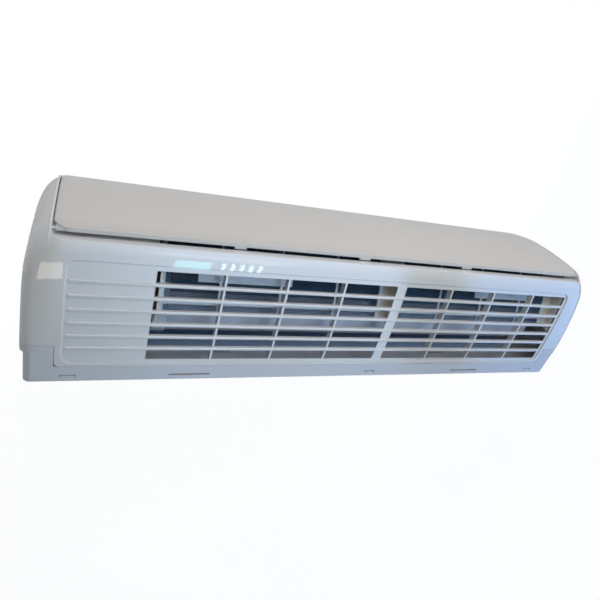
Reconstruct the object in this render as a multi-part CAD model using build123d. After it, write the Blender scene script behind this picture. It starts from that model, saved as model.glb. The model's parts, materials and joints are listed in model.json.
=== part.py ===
from build123d import *
import os
from math import asin, cos, hypot, radians, sin, sqrt

# Indoor half of a wall-mounted split air conditioner, hung as in use.
# Millimetres. +X right as seen from the front, +Y into the wall, +Z up.
# The wall plane is Y = 0 and the body's mid height is Z = 0.

os.makedirs("parts", exist_ok=True)

# Overall size
LENGTH = 810.0
DEPTH = 189.0
HEIGHT = 297.0
HALF = LENGTH / 2
TOP = HEIGHT / 2
BOTTOM = -HEIGHT / 2
FRONT = -DEPTH

# Fits and gaps
TOUCH_GAP = 0.3
RUNNING_GAP = 0.05
PANEL_GAP = 1.5
LOUVER_GAP = 2.0

# Casing shell: outline of its section in the YZ plane
WALL = 2.5
SEAM_Y = -22.5
FLAT_Y = -31.8
CROWN_R = 674.0
NOSE_R = 28.0
FRONT_R = 600.0
FRONT_MAX_Z = 85.0
FRONT_BREAK_Z = 20.0
LOWER_R = 220.0
CHIN_ANGLE = 45.0
CHIN_R = 12.0

# End cheeks: the section shrinks towards each end
CHEEK_START_X = HALF - 39
CHEEK_A = 35.0
CHEEK_B = 70.0
CHEEK_TOP_R = 12.0
CHEEK_STEPS = (0.0, 0.2, 0.4, 0.57, 0.71, 0.83, 0.92, 0.975, 1.0)

# Chassis behind the seam
CHASSIS_INSET = 4.0
RIM_TRIM = 0.05
CHASSIS_CORNER_R = 8.0
TAB_Y = -53.0
TAB_X = HALF - 35
TAB_BACK_Y = -42.0
TAB_CORNER_R = 6.0
SEAM_GAP = 0.4
BACK_Y = -14.0
BACK_WALL = 2.5
BOTTOM_SPLIT_Y = -76.0

# Intake grille
BAR_PITCH = 17.0
BAR_COUNT = 6
BAR_WIDTH = 4.4
BAR_HEIGHT = 5.0
RIB_WIDTH = 2.6
RIB_HEIGHT = 11.0
MULLION_WIDTH = 14.8
WINDOW_RIGHT_X = HALF - 132
WINDOW_LEFT_X = -HALF + 46.8
RIGHT_CELLS = 4
LEFT_CELLS = 4
LAST_CELL_LESS = 10.0
RIB_PITCH = (WINDOW_RIGHT_X - WINDOW_LEFT_X - MULLION_WIDTH + LAST_CELL_LESS) / (RIGHT_CELLS + LEFT_CELLS)
LAST_CELL = RIB_PITCH - LAST_CELL_LESS
WINDOW_LENGTH = BAR_PITCH * (BAR_COUNT + 1)
MULLION_RIGHT_X = WINDOW_RIGHT_X - RIGHT_CELLS * RIB_PITCH
MULLION_LEFT_X = MULLION_RIGHT_X - MULLION_WIDTH
MULLION_X = (MULLION_RIGHT_X + MULLION_LEFT_X) / 2
WINDOW_CORNER_R = 1.5
FIELD_DEPTH = 1.6
FIELD_RIGHT_X = HALF - 41
FIELD_LEFT_X = WINDOW_LEFT_X - 5.0
FIELD_FRONT_Y = -158.0
FIELD_BACK_Y = -26.0
FIELD_CORNER_R = 13.0
RIDGE_RIGHT_X = FIELD_RIGHT_X - 4

# Front opening and panel
LEDGE_Y = -177.0
STRIP_BOTTOM_Z = TOP - 27.5
PANEL_TOP_Z = TOP - 28.2
PANEL_LOW_Z = -82.0
PANEL_HALF = HALF - 28
PANEL_T = 3.2
PANEL_RIB = 1.6
PANEL_CORNER_R = 14.0
RECESS_CORNER_R = 17.0
RECESS_WALL = 2.5
FLANGE_INSET = 10.0
FLANGE_WALL = 2.0
BEAM_DROP = 4.0
BEAM_REACH = 5.0
BEAM_T = 2.0
OPENING_LEFT_X = -HALF + 44
OPENING_RIGHT_X = HALF - 133
HINGE_Y = -182.6
HINGE_Z = PANEL_TOP_Z - 3.5
HINGE_PIN_R = 1.5
HINGE_LUG_R = 3.3
HINGE_LUG_WIDTH = 7.0
HINGE_PIN_GRIP = 1.2
HINGE_PIN_SEAT = 1.6

# Fan and duct
DUCT_LEFT_X = -HALF + 53
DUCT_RIGHT_X = HALF - 137
PARTITION = 2.5
FAN_Y = -84.0
FAN_Z = -20.0
FAN_R = 45.0
FAN_INNER_R = 33.0
FAN_LEFT_X = DUCT_LEFT_X + 7
FAN_RIGHT_X = DUCT_RIGHT_X - 13
FAN_SEGMENTS = 8
FAN_DISC = 1.8
BLADE_COUNT = 32
BLADE_T = 1.2
SHAFT_R = 4.0

# Outlet, louver and vanes
OUTLET_TOP_Z = -94.0
OUTLET_LOW_Z = -138.0
LOUVER_T = 3.0
LOUVER_PIVOT_ALONG = 22.0
LOUVER_PIVOT_INWARD = 8.0
LOUVER_PIN_R = 2.5
VANE_T = 1.6
VANE_COUNT = 4
VANE_DEPTH_NEAR = 33.0
VANE_CHORD = 24.0
VANE_HEIGHT = 38.0
VANE_PIN_R = 1.5
VANE_RANGE = 35.0
LINK_PIN_R = 1.2
LINK_ARM = 9.0
LINK_PLAY = 0.35
LINK_T = 2.0
LINK_WIDTH = 8.0

# Coil
SLAB_T = 26.0
COIL_LEFT_X = DUCT_LEFT_X + 12
COIL_RIGHT_X = DUCT_RIGHT_X - 18
FIN_PITCH = 6.0
FIN_GROOVE = 1.5
PLATE_T = 1.2
STRIP_T = 1.2
TUBE_R = 3.5
TUBE_PITCH = 21.0
SLAB_UPPER = ((-88.0, 106.0), (-146.0, 48.0))
SLAB_LOWER = ((-158.0, 40.0), (-148.5, -31.0))
SLAB_REAR = ((-62.0, 104.0), (-31.0, 31.0))
COIL_COVER_PATH = [
    (-134.0, 84.0),
    (-116.0, 102.0),
    (-98.0, 118.5),
    (-80.0, 124.0),
    (-60.0, 121.0),
    (-45.0, 106.0),
    (-33.0, 76.0),
    (-20.0, 46.0),
]
COVER_X = (COIL_RIGHT_X + PLATE_T + TOUCH_GAP, DUCT_RIGHT_X)
COVER_T = 1.6
COVER_FLANGE = 9.0
COVER_SIDE = 14.0

# Places worked out from the sizes above
RECESS_X = PANEL_HALF + PANEL_GAP
VANE_GROUP_PITCH = (DUCT_RIGHT_X - DUCT_LEFT_X) / (2 * VANE_COUNT)

# Front casing
SCREW_X = (DUCT_LEFT_X + 52, (DUCT_LEFT_X + DUCT_RIGHT_X) / 2, DUCT_RIGHT_X - 52)
SCREW_Z = -88.2
CAP_R = 3.8
CAP_T = 1.2
BOSS_R = 4.4
BOSS_WALL = 1.6
SCREW_SEAT = 8.2
SCREW_HEAD_R = 3.0
SCREW_HEAD_H = 1.8
SCREW_R = 1.5
WINDOW_LENS = (HALF - 105, HALF - 59, -118.0, -108.0)
BUTTON_X = HALF - 75
BUTTON_Z = 30.0
BUTTON_R = 4.0
BUTTON_TRAVEL = 1.5
BUTTON_HEAD = 2.4
BUTTON_COLLAR_T = 1.6
BUTTON_COLLAR_GAP = 1.0
DISPLAY_Y = -167.0
DISPLAY_T = 1.4
SWITCH_H = 1.7
BOTTOM_PLATE_X = HALF - CHEEK_TOP_R - 1

# Rear chassis
CHANNEL_TOP_Z = -95.0
SCROLL = [(-21.0, 34.8), (-25.5, 0.0), (-29.0, -22.0), (-36.0, -56.0), (-60.0, -100.0), (-93.0, -137.0)]
SCROLL_T = 2.5
LATCH_X = (-HALF + 46, -46.0, HALF - 50)
LATCH_WIDTH = 15.0
LATCH_SLIT = 1.4
SLOT_X = ((-248.0, -195.0), (191.0, 242.0))
SLOT_Y = -9.5
SLOT_WIDTH = 2.6
HOOK_X = (-180.0, 180.0)
HOOK_WIDTH = 40.0
HOOK_Z = 107.0
HOOK_T = 1.2
HOOK_LIFT = 9.0
VANE_AXIS_INWARD = VANE_DEPTH_NEAR - 2 + VANE_CHORD / 2
VANE_LOW_ALONG = 6.5
BEARING_R = 11.0
MOTOR_R = 42.0
MOTOR_LEFT_X = DUCT_RIGHT_X + 24
MOTOR_RIGHT_X = MOTOR_LEFT_X + 56
CRADLE_INSET = 8.0
CRADLE_WALL = 5.0
CLAMP_FOOT = 13.0
CLAMP_DROP = 8.0
DRAIN_Y = -145.0
DRAIN_Z = -46.0
DRAIN_R = 4.0

# Front panel
HOOK_BLOCKS = ((182.0, 14.0), (15.0, 16.0), (-153.5, 17.0))

# Filters and their rails
FILTER_PATH = [
    (-88.0, 131.0),
    (-103.0, 126.2),
    (-120.0, 120.4),
    (-137.0, 113.4),
    (-152.0, 104.5),
    (-164.0, 93.0),
    (-171.5, 77.0),
    (-175.3, 55.0),
    (-176.3, 30.0),
    (-174.6, 5.0),
    (-171.2, -16.0),
    (-166.4, -34.0),
]
FILTER_T = 2.4
NET_T = 0.5
FRAME_EDGE = 6.0
FRAME_BAR = 3.0
FILTER_RIGHT_X = DUCT_RIGHT_X - 2
FILTER_LEFT_X = WINDOW_LEFT_X + 12
CENTRE_RAIL_HALF = 13.0
HANDLE_REACH = (150.0, 270.0)
HANDLE_Y = (-137.0, -128.0)
RAIL_WEB = 2.0
RAIL_FLOOR = 2.0
RAIL_LIP = 5.0

# Drain pan
PAN_LIP_Y = -131.9
PAN_LIP_T = 4.6
PAN_OUTLINE = [
    (-167.5, -24.0),
    (-165.0, -24.0),
    (-156.0, -53.0),
    (-136.5, -51.0),
    (-132.5, -36.0),
    (-130.0, -36.0),
    (-127.3, -47.0),
    (PAN_LIP_Y + PAN_LIP_T, -80.0),
    (PAN_LIP_Y + PAN_LIP_T, -92.0),
    (PAN_LIP_Y, -92.0),
    (PAN_LIP_Y, -80.0),
    (-158.5, -56.0),
]
PAN_LEDGE = 8.0
PAN_END = 2.0
PLUG_HEAD_R = 6.0
PLUG_HEAD_T = 3.0
SPOUT_R = 8.0
SPOUT_BORE_R = 6.0
SPOUT_X = DUCT_RIGHT_X + 12.5
SPOUT_Z = -82.0
SPOUT_FRONT_Y = -128.0
SPOUT_END_Y = -66.0
SPOUT_LAND = 17.0
SPOUT_BEAD = 3.0

# Fan and its drive
HUB_R = 16.0
BUSH_R = 8.5
BEARING_LENGTH = 9.0
MOTOR_SHAFT_R = 4.0
CLAMP_T = 2.5
CLAMP_X = (MOTOR_LEFT_X + 16, MOTOR_RIGHT_X - 16)

# Louver and vanes
LOUVER_MOTOR_OFFSET = 8.0
LOUVER_MOTOR_R = 11.0
LOUVER_MOTOR_T = 15.0
LOUVER_MOTOR_EAR = 16.0
LOUVER_LUG_R = 5.0
LOUVER_LUG_T = 3.0
LOUVER_END_GAP = 1.0

# Electrical parts
BOX_X = (DUCT_RIGHT_X + PARTITION + TOUCH_GAP, HALF - 21)
BOX_Y = (-161.0, -131.0)
BOX_Z = (-20.0, 108.0)
BOX_WALL = 2.0
COVER_LID = 1.8
BOARD_T = 1.6
BOARD_Y = -136.5
TERMINAL_X = (BOX_X[1] - 39, BOX_X[1] - 4)
TERMINAL_Z = (-58.0, -34.0)
SENSOR_X = COIL_RIGHT_X - 16
SENSOR_DOWN = 22.0
SENSOR_LENGTH = 26.0
SENSOR_R = 1.6
SENSOR_STAND = 2.2

# Pipes
GAS_R = 4.76
LIQUID_R = 3.18
GAS_X = DUCT_RIGHT_X + 9
LIQUID_X = DUCT_RIGHT_X + 18.6
GAS_Z = -115.0
LIQUID_Z = -136.6
PIPE_END_X = -120.0
PIPE_STAGGER = 34.0
PIPE_TURN_R = 18.0
SLEEVE_R = 13.0
UNION_FLATS_GAS = 24.0
UNION_FLATS_LIQUID = 17.0
UNION_LENGTH = 15.0
THREAD_GAS_R = 7.94
THREAD_LIQUID_R = 5.56
THREAD_LENGTH = 14.0
CHANNEL_Y = -28.0

# Wall plate
WALL_PLATE_X = 270.0
WALL_PLATE_Z = (-48.0, 124.0)
WALL_PLATE_T = 1.2
WALL_RIB = 3.0
SCREW_SPACING_X = 440.0
SCREW_SPACING_Z = 130.0
WALL_SCREW_R = 2.75


def block(x0, x1, y0, y1, z0, z1):
    """Box between two corners."""
    middle = Pos((x0 + x1) / 2, (y0 + y1) / 2, (z0 + z1) / 2)
    return middle * Box(abs(x1 - x0), abs(y1 - y0), abs(z1 - z0))


def rod_x(x0, x1, y, z, r):
    """Round bar along X."""
    return Pos((x0 + x1) / 2, y, z) * Rot(0, 90, 0) * Cylinder(r, abs(x1 - x0))


def rod_y(x, y0, y1, z, r):
    """Round bar along Y."""
    return Pos(x, (y0 + y1) / 2, z) * Rot(90, 0, 0) * Cylinder(r, abs(y1 - y0))


def rod_z(x, y, z0, z1, r):
    """Round bar along Z."""
    return Pos(x, y, (z0 + z1) / 2) * Cylinder(r, abs(z1 - z0))


def polygon(points):
    """Flat face through (y, z) points."""
    return make_face(Polyline(*points, close=True))


def prism(face, x0, x1):
    """A YZ face drawn out along X."""
    return extrude(Plane.YZ.offset(x0) * face, amount=x1 - x0, dir=(1, 0, 0))


def shifted(points, distance):
    """Points moved sideways, to the left of the way they run."""
    moved = []
    last = len(points) - 1
    for i, (y, z) in enumerate(points):
        before = points[max(i - 1, 0)]
        after = points[min(i + 1, last)]
        run_y = after[0] - before[0]
        run_z = after[1] - before[1]
        run = hypot(run_y, run_z)
        moved.append((y - distance * run_z / run, z + distance * run_y / run))
    return moved


def band(points, near, far):
    """Face between two curves beside a smooth line of points."""
    inner = shifted(points, near)
    outer = shifted(points, far)
    edges = [Spline(*inner), Line(inner[-1], outer[-1]), Spline(*reversed(outer)), Line(outer[0], inner[0])]
    return make_face(edges)


# Outline of the casing's section, as (y, z) points


def crown_z(y):
    """Height of the top surface."""
    return TOP - CROWN_R + sqrt(CROWN_R**2 - (y - FLAT_Y) ** 2)


def upper_front_y(z):
    """Front surface of the upper half."""
    return FRONT + FRONT_R - sqrt(FRONT_R**2 - (z - FRONT_MAX_Z) ** 2)


def lower_front(angle):
    """Point of the lower front curve, where the surface has turned by an angle in radians."""
    start = asin((FRONT_MAX_Z - FRONT_BREAK_Z) / FRONT_R)
    y = upper_front_y(FRONT_BREAK_Z) + LOWER_R * (cos(start) - cos(angle))
    z = FRONT_BREAK_Z - LOWER_R * (sin(angle) - sin(start))
    return (y, z)


def front_y(z):
    """Front surface at any height above the chin."""
    chin_y, chin_z = lower_front(radians(CHIN_ANGLE))
    if z >= FRONT_BREAK_Z:
        return upper_front_y(z)
    if z < chin_z:
        return chin_y + (chin_z - z) / sin(radians(CHIN_ANGLE)) * cos(radians(CHIN_ANGLE))
    start = asin((FRONT_MAX_Z - FRONT_BREAK_Z) / FRONT_R)
    return lower_front(asin(sin(start) + (FRONT_BREAK_Z - z) / LOWER_R))[0]


def inset_front_y(inset, z):
    """Front surface of the section drawn in by an inset, at any height above the chin."""
    shrink = 1 - inset / (SEAM_Y - FRONT)
    return SEAM_Y + (front_y(z / (1 - inset / TOP)) - SEAM_Y) * shrink


def nose_points():
    """Start, middle and end of the rounding between top and front."""
    crown_c = (FLAT_Y, TOP - CROWN_R)
    front_c = (FRONT + FRONT_R, FRONT_MAX_Z)
    reach_a = CROWN_R - NOSE_R
    reach_b = FRONT_R - NOSE_R
    apart = hypot(front_c[0] - crown_c[0], front_c[1] - crown_c[1])
    along = (apart**2 + reach_a**2 - reach_b**2) / (2 * apart)
    aside = sqrt(reach_a**2 - along**2)
    unit = ((front_c[0] - crown_c[0]) / apart, (front_c[1] - crown_c[1]) / apart)
    centre = (
        crown_c[0] + unit[0] * along - unit[1] * aside,
        crown_c[1] + unit[1] * along + unit[0] * aside,
    )
    up = ((centre[0] - crown_c[0]) / reach_a, (centre[1] - crown_c[1]) / reach_a)
    out = ((centre[0] - front_c[0]) / reach_b, (centre[1] - front_c[1]) / reach_b)
    mid = (up[0] + out[0], up[1] + out[1])
    length = hypot(*mid)
    return [
        (centre[0] + NOSE_R * d[0], centre[1] + NOSE_R * d[1])
        for d in (up, (mid[0] / length, mid[1] / length), out)
    ]


def chin_points():
    """Start, middle and end of the rounding between chin slope and underside."""
    y, z = lower_front(radians(CHIN_ANGLE))
    slope = radians(90 - CHIN_ANGLE)
    corner_y = y + (z - BOTTOM) / sin(slope) * cos(slope)
    tangent = CHIN_R * sin(slope) / (1 + cos(slope))
    centre = (corner_y + tangent, BOTTOM + CHIN_R)
    start = (corner_y - tangent * cos(slope), BOTTOM + tangent * sin(slope))
    middle = (centre[0] - CHIN_R * sin(slope / 2), centre[1] - CHIN_R * cos(slope / 2))
    return [start, middle, (centre[0], BOTTOM)]


def section(shrink_y, shrink_z):
    """The casing's section, drawn in about the seam line and the mid height."""

    def at(point):
        return (SEAM_Y + (point[0] - SEAM_Y) * shrink_y, point[1] * shrink_z)

    nose = nose_points()
    chin = chin_points()
    crown_mid_y = (FLAT_Y + nose[0][0]) / 2
    front_mid_z = (nose[2][1] + FRONT_BREAK_Z) / 2
    break_point = (upper_front_y(FRONT_BREAK_Z), FRONT_BREAK_Z)
    lower_start = asin((FRONT_MAX_Z - FRONT_BREAK_Z) / FRONT_R)
    lower_mid = lower_front((lower_start + radians(CHIN_ANGLE)) / 2)
    lower_end = lower_front(radians(CHIN_ANGLE))
    edges = [
        Line(at((SEAM_Y, TOP)), at((FLAT_Y, TOP))),
        ThreePointArc(at((FLAT_Y, TOP)), at((crown_mid_y, crown_z(crown_mid_y))), at(nose[0])),
        ThreePointArc(at(nose[0]), at(nose[1]), at(nose[2])),
        ThreePointArc(at(nose[2]), at((upper_front_y(front_mid_z), front_mid_z)), at(break_point)),
        ThreePointArc(at(break_point), at(lower_mid), at(lower_end)),
        Line(at(lower_end), at(chin[0])),
        ThreePointArc(at(chin[0]), at(chin[1]), at(chin[2])),
        Line(at(chin[2]), at((SEAM_Y, BOTTOM))),
        Line(at((SEAM_Y, BOTTOM)), at((SEAM_Y, TOP))),
    ]
    return make_face(edges)


def inset_section(inset):
    """The section drawn in by a wall or gap."""
    return section(1 - inset / (SEAM_Y - FRONT), 1 - inset / TOP)


def end_section(inset, x):
    """The section near an end, where the cheek rounds it off."""
    front_turn = max((x - (HALF - CHEEK_A)) / (CHEEK_A - inset), 0.0)
    front_in = inset + (CHEEK_B - inset) * (1 - sqrt(max(1 - front_turn**2, 0.0)))
    top_r = CHEEK_TOP_R - inset
    top_turn = max((x - (HALF - CHEEK_TOP_R)) / top_r, 0.0)
    top_in = inset + top_r * (1 - sqrt(max(1 - top_turn**2, 0.0)))
    return section(1 - front_in / (SEAM_Y - FRONT), 1 - top_in / TOP)


def cheek(inset, side):
    """Rounded end of the casing, from the straight middle out."""
    straight = HALF - CHEEK_A
    faces = [Plane.YZ.offset(side * CHEEK_START_X) * inset_section(inset)]
    for step in CHEEK_STEPS:
        x = straight + step * (CHEEK_A - inset)
        faces.append(Plane.YZ.offset(side * x) * end_section(inset, x))
    return loft(faces)


def hull(inset):
    """The whole casing envelope, drawn in by an inset."""
    middle = prism(inset_section(inset), -CHEEK_START_X, CHEEK_START_X)
    return middle + cheek(inset, 1) + cheek(inset, -1)


# Places worked out from the sizes above

OUTLET_A = (front_y(OUTLET_TOP_Z), OUTLET_TOP_Z)
OUTLET_B = (front_y(OUTLET_LOW_Z), OUTLET_LOW_Z)
OUTLET_WIDTH = hypot(OUTLET_A[0] - OUTLET_B[0], OUTLET_A[1] - OUTLET_B[1])
ALONG = ((OUTLET_A[0] - OUTLET_B[0]) / OUTLET_WIDTH, (OUTLET_A[1] - OUTLET_B[1]) / OUTLET_WIDTH)
INWARD = (ALONG[1], -ALONG[0])
ALONG_AXIS = Vector(0, ALONG[0], ALONG[1])


def outlet_point(along, inward):
    """Point (y, z) measured from the outlet's lower edge, up along it and into the duct."""
    y = OUTLET_B[0] + ALONG[0] * along + INWARD[0] * inward
    z = OUTLET_B[1] + ALONG[1] * along + INWARD[1] * inward
    return (y, z)


LOUVER_PIVOT = outlet_point(LOUVER_PIVOT_ALONG, LOUVER_PIVOT_INWARD)


def outlet_quad(along0, along1, inward0, inward1):
    """Four-sided face set square to the outlet."""
    return polygon(
        [
            outlet_point(along0, inward0),
            outlet_point(along1, inward0),
            outlet_point(along1, inward1),
            outlet_point(along0, inward1),
        ]
    )


def bar_places():
    """Y of each grille bar, from the back."""
    return [FLAT_Y - BAR_PITCH * (i + 1) for i in range(BAR_COUNT)]


def rib_places():
    """X of each cross rib."""
    right = [WINDOW_RIGHT_X - RIB_PITCH * (i + 1) for i in range(RIGHT_CELLS - 1)]
    left = [MULLION_LEFT_X - RIB_PITCH * (i + 1) for i in range(LEFT_CELLS - 1)]
    return right + left


def plan_rect(x0, x1, y0, y1, r, z0, z1):
    """Rounded rectangle in plan, drawn up from z0 to z1."""
    face = RectangleRounded(abs(x1 - x0), abs(y1 - y0), r)
    return extrude(Pos((x0 + x1) / 2, (y0 + y1) / 2, z0) * face, amount=z1 - z0)


def top_layer(inset0, inset1, x0, x1):
    """Layer under the top surface, over the grille's reach in Y."""
    layer = prism(inset_section(inset0) - inset_section(inset1), x0, x1)
    return layer & block(x0, x1, FRONT, SEAM_Y, TOP / 2, TOP + 1)


# Front casing


def grille(shell):
    """Windows, bars and ribs in the top of the casing."""
    recess = top_layer(0, FIELD_DEPTH, FIELD_LEFT_X, FIELD_RIGHT_X)
    field = plan_rect(
        FIELD_LEFT_X, FIELD_RIGHT_X, FIELD_FRONT_Y, FIELD_BACK_Y, FIELD_CORNER_R, TOP / 2, TOP + 1
    )
    shell -= recess & field
    window_front = FLAT_Y - WINDOW_LENGTH
    for x0, x1 in ((MULLION_RIGHT_X, WINDOW_RIGHT_X), (WINDOW_LEFT_X, MULLION_LEFT_X)):
        shell -= plan_rect(x0, x1, window_front, FLAT_Y, WINDOW_CORNER_R, TOP / 2, TOP + 1)
    pieces = []
    for y in bar_places():
        top = crown_z(y)
        bar = Pos(y, top - BAR_HEIGHT / 2) * RectangleRounded(BAR_WIDTH, BAR_HEIGHT, 1.4)
        pieces.append(prism(bar, WINDOW_LEFT_X - 1, WINDOW_RIGHT_X + 1))
        ridge = Pos(y, top - WALL / 2) * RectangleRounded(BAR_WIDTH, WALL - 0.2, 0.9)
        pieces.append(prism(ridge, WINDOW_RIGHT_X, RIDGE_RIGHT_X))
    for x in rib_places():
        rib = top_layer(FIELD_DEPTH, RIB_HEIGHT, x - RIB_WIDTH / 2, x + RIB_WIDTH / 2)
        reach = block(x - RIB_WIDTH, x + RIB_WIDTH, window_front - 1, FLAT_Y + 1, TOP / 2, TOP)
        pieces.append(rib & reach)
    return shell + pieces


def front_opening():
    """What is cut away for the panel and its recess."""
    low = PANEL_LOW_Z - PANEL_GAP
    high = crown_z(LEDGE_Y) + 2
    outline = RectangleRounded(2 * RECESS_X, high - low, RECESS_CORNER_R)
    outline += Pos(0, -RECESS_CORNER_R) * Rectangle(2 * RECESS_X, high - low - 2 * RECESS_CORNER_R)
    outline += Pos(0, -(high - low) / 4) * Rectangle(2 * RECESS_X, (high - low) / 2)
    plane = Plane.XZ.offset(-FRONT + 5)
    placed = plane * Pos(0, (high + low) / 2) * outline
    shallow = extrude(placed, amount=LEDGE_Y - FRONT + 5, dir=(0, 1, 0))
    deep = extrude(placed, amount=-FRONT * 0.5, dir=(0, 1, 0))
    return shallow + (deep & block(-HALF, HALF, FRONT - 6, 0, low - 1, STRIP_BOTTOM_Z))


def front_frame(envelope):
    """Strip above the panel, recess side walls and inner flanges."""
    low = PANEL_LOW_Z - PANEL_GAP
    wall_x = RECESS_X + RECESS_WALL
    pieces = [block(-wall_x, wall_x, LEDGE_Y, LEDGE_Y + RECESS_WALL, STRIP_BOTTOM_Z, TOP) & envelope]
    flange = inset_section(FLANGE_INSET) - inset_section(FLANGE_INSET + FLANGE_WALL)
    cheek_band = inset_section(WALL / 2) - inset_section(FLANGE_INSET + FLANGE_WALL)
    foot_y = LEDGE_Y + RECESS_WALL / 2
    for x0, x1, side in ((OPENING_RIGHT_X, wall_x, 1), (-wall_x, OPENING_LEFT_X, -1)):
        zone = block(x0, x1, FRONT, FRONT / 2, low, STRIP_BOTTOM_Z + RECESS_WALL)
        pieces.append(prism(flange, x0, x1) & zone)
        inner_x = side * RECESS_X
        band_zone = block(inner_x, side * wall_x, FRONT, FRONT / 2, low, TOP)
        wall_band = prism(cheek_band, min(inner_x, side * wall_x), max(inner_x, side * wall_x))
        pieces.append(wall_band & band_zone)
        pieces.append(block(x0, x1, foot_y, foot_y + 10, STRIP_BOTTOM_Z, STRIP_BOTTOM_Z + RECESS_WALL))
    beam_y = front_y(low - BEAM_DROP)
    beam_z = low - BEAM_DROP
    pieces.append(block(-wall_x, wall_x, beam_y + WALL / 2, beam_y + BEAM_REACH, beam_z, beam_z + BEAM_T))
    return pieces


def screw_seat(casing):
    """Bosses that take the casing screws, with a recess for each cap."""
    face = front_y(SCREW_Z)
    seat = face + SCREW_SEAT
    for x in SCREW_X:
        casing += rod_y(x, face + 2, seat + BOSS_WALL, SCREW_Z, BOSS_R)
    for x in SCREW_X:
        casing -= rod_y(x, face - CAP_R - 2, seat, SCREW_Z, CAP_R + RUNNING_GAP)
        casing -= rod_y(x, face, seat + BOSS_WALL + 1, SCREW_Z, SCREW_R + TOUCH_GAP)
    return casing


def lens_cutter(inset0, inset1, gap):
    """Solid of the receiver window, grown by a gap."""
    x0, x1, z0, z1 = WINDOW_LENS
    face = RectangleRounded(x1 - x0 + 2 * gap, z1 - z0 + 2 * gap, 4 + gap)
    plane = Plane.XZ.offset(-FRONT)
    column = extrude(plane * Pos((x0 + x1) / 2, (z0 + z1) / 2) * face, amount=DEPTH, dir=(0, 1, 0))
    layer = prism(inset_section(inset0) - inset_section(inset1), x0 - 5, x1 + 5)
    return column & layer


def casing_split():
    """Space that the rear chassis takes out of the casing's outline."""
    tab = block(-HALF - 1, HALF + 1, TAB_Y, 0, TOP - WALL - 4, TOP + 1)
    tab -= plan_rect(-TAB_X, TAB_X, TAB_Y - 20, SEAM_Y, TAB_CORNER_R, TOP - WALL - 5, TOP + 2)
    sides = block(-HALF - 1, HALF + 1, TAB_Y, 0, BOTTOM - 1, TOP - WALL - 4)
    sides -= block(-BOTTOM_PLATE_X, BOTTOM_PLATE_X, TAB_Y - 1, 1, BOTTOM - 2, TOP)
    bottom = block(-BOTTOM_PLATE_X, BOTTOM_PLATE_X, BOTTOM_SPLIT_Y, 0, BOTTOM - 1, BOTTOM + WALL + 1)
    return tab + sides + bottom


def front_casing():
    """Top, ends, front frame and outlet surround, one moulding."""
    middle = prism(inset_section(0) - inset_section(WALL), -CHEEK_START_X, CHEEK_START_X)
    middle = grille(middle)
    casing = middle
    for side in (1, -1):
        casing += cheek(0, side) - cheek(WALL, side)
    casing -= front_opening()
    casing += front_frame(hull(0))
    outlet = prism(
        outlet_quad(0, OUTLET_WIDTH, -12, 12), DUCT_LEFT_X, DUCT_RIGHT_X
    )
    casing -= outlet
    casing = screw_seat(casing)
    for side in (-1, 1):
        x1 = side * (RECESS_X + HINGE_PIN_SEAT)
        casing -= rod_x(side * (RECESS_X - 2), x1, HINGE_Y, HINGE_Z, HINGE_PIN_R + RUNNING_GAP)
    casing -= lens_cutter(-1, WALL + 1, 0)
    casing -= rod_y(BUTTON_X, FRONT, FRONT / 2, BUTTON_Z, BUTTON_R + RUNNING_GAP)
    casing -= casing_split()
    return casing


# Rear chassis


def vane_places(group):
    """X of each vane of the left (0) or right (1) group."""
    first = DUCT_LEFT_X + VANE_GROUP_PITCH * (VANE_COUNT * group + 0.5)
    return [first + VANE_GROUP_PITCH * i for i in range(VANE_COUNT)]


def vane_rod(x, along0, along1, inward, r):
    """Round bar along the vanes' pivot direction."""
    y, z = outlet_point((along0 + along1) / 2, inward)
    plane = Plane(origin=(x, y, z), x_dir=(1, 0, 0), z_dir=ALONG_AXIS)
    return plane * Cylinder(r, along1 - along0)


def partition(x):
    """End wall of the duct, from its face at x outwards."""
    outline = polygon(
        [
            (BACK_Y + 1, 40),
            (BACK_Y + 1, CHANNEL_TOP_Z - 1),
            (-62, CHANNEL_TOP_Z - 1),
            (-93, -146),
            (-150, -100),
            (-156, -46),
            (-133, -30),
            (-138, 8),
            (-100, 36),
        ]
    )
    behind_panel = PANEL_T + PANEL_RIB + PANEL_GAP
    beam_low = PANEL_LOW_Z - PANEL_GAP - BEAM_DROP - TOUCH_GAP
    low = polygon([(0, BOTTOM), (FRONT, BOTTOM), (FRONT, beam_low), (0, beam_low)])
    face = outline & (inset_section(behind_panel) + (inset_section(WALL + TOUCH_GAP) & low))
    wall = prism(face, x, x + PARTITION)
    return wall - rod_x(x - 1, x + PARTITION + 1, DRAIN_Y, DRAIN_Z, DRAIN_R + TOUCH_GAP)


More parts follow.
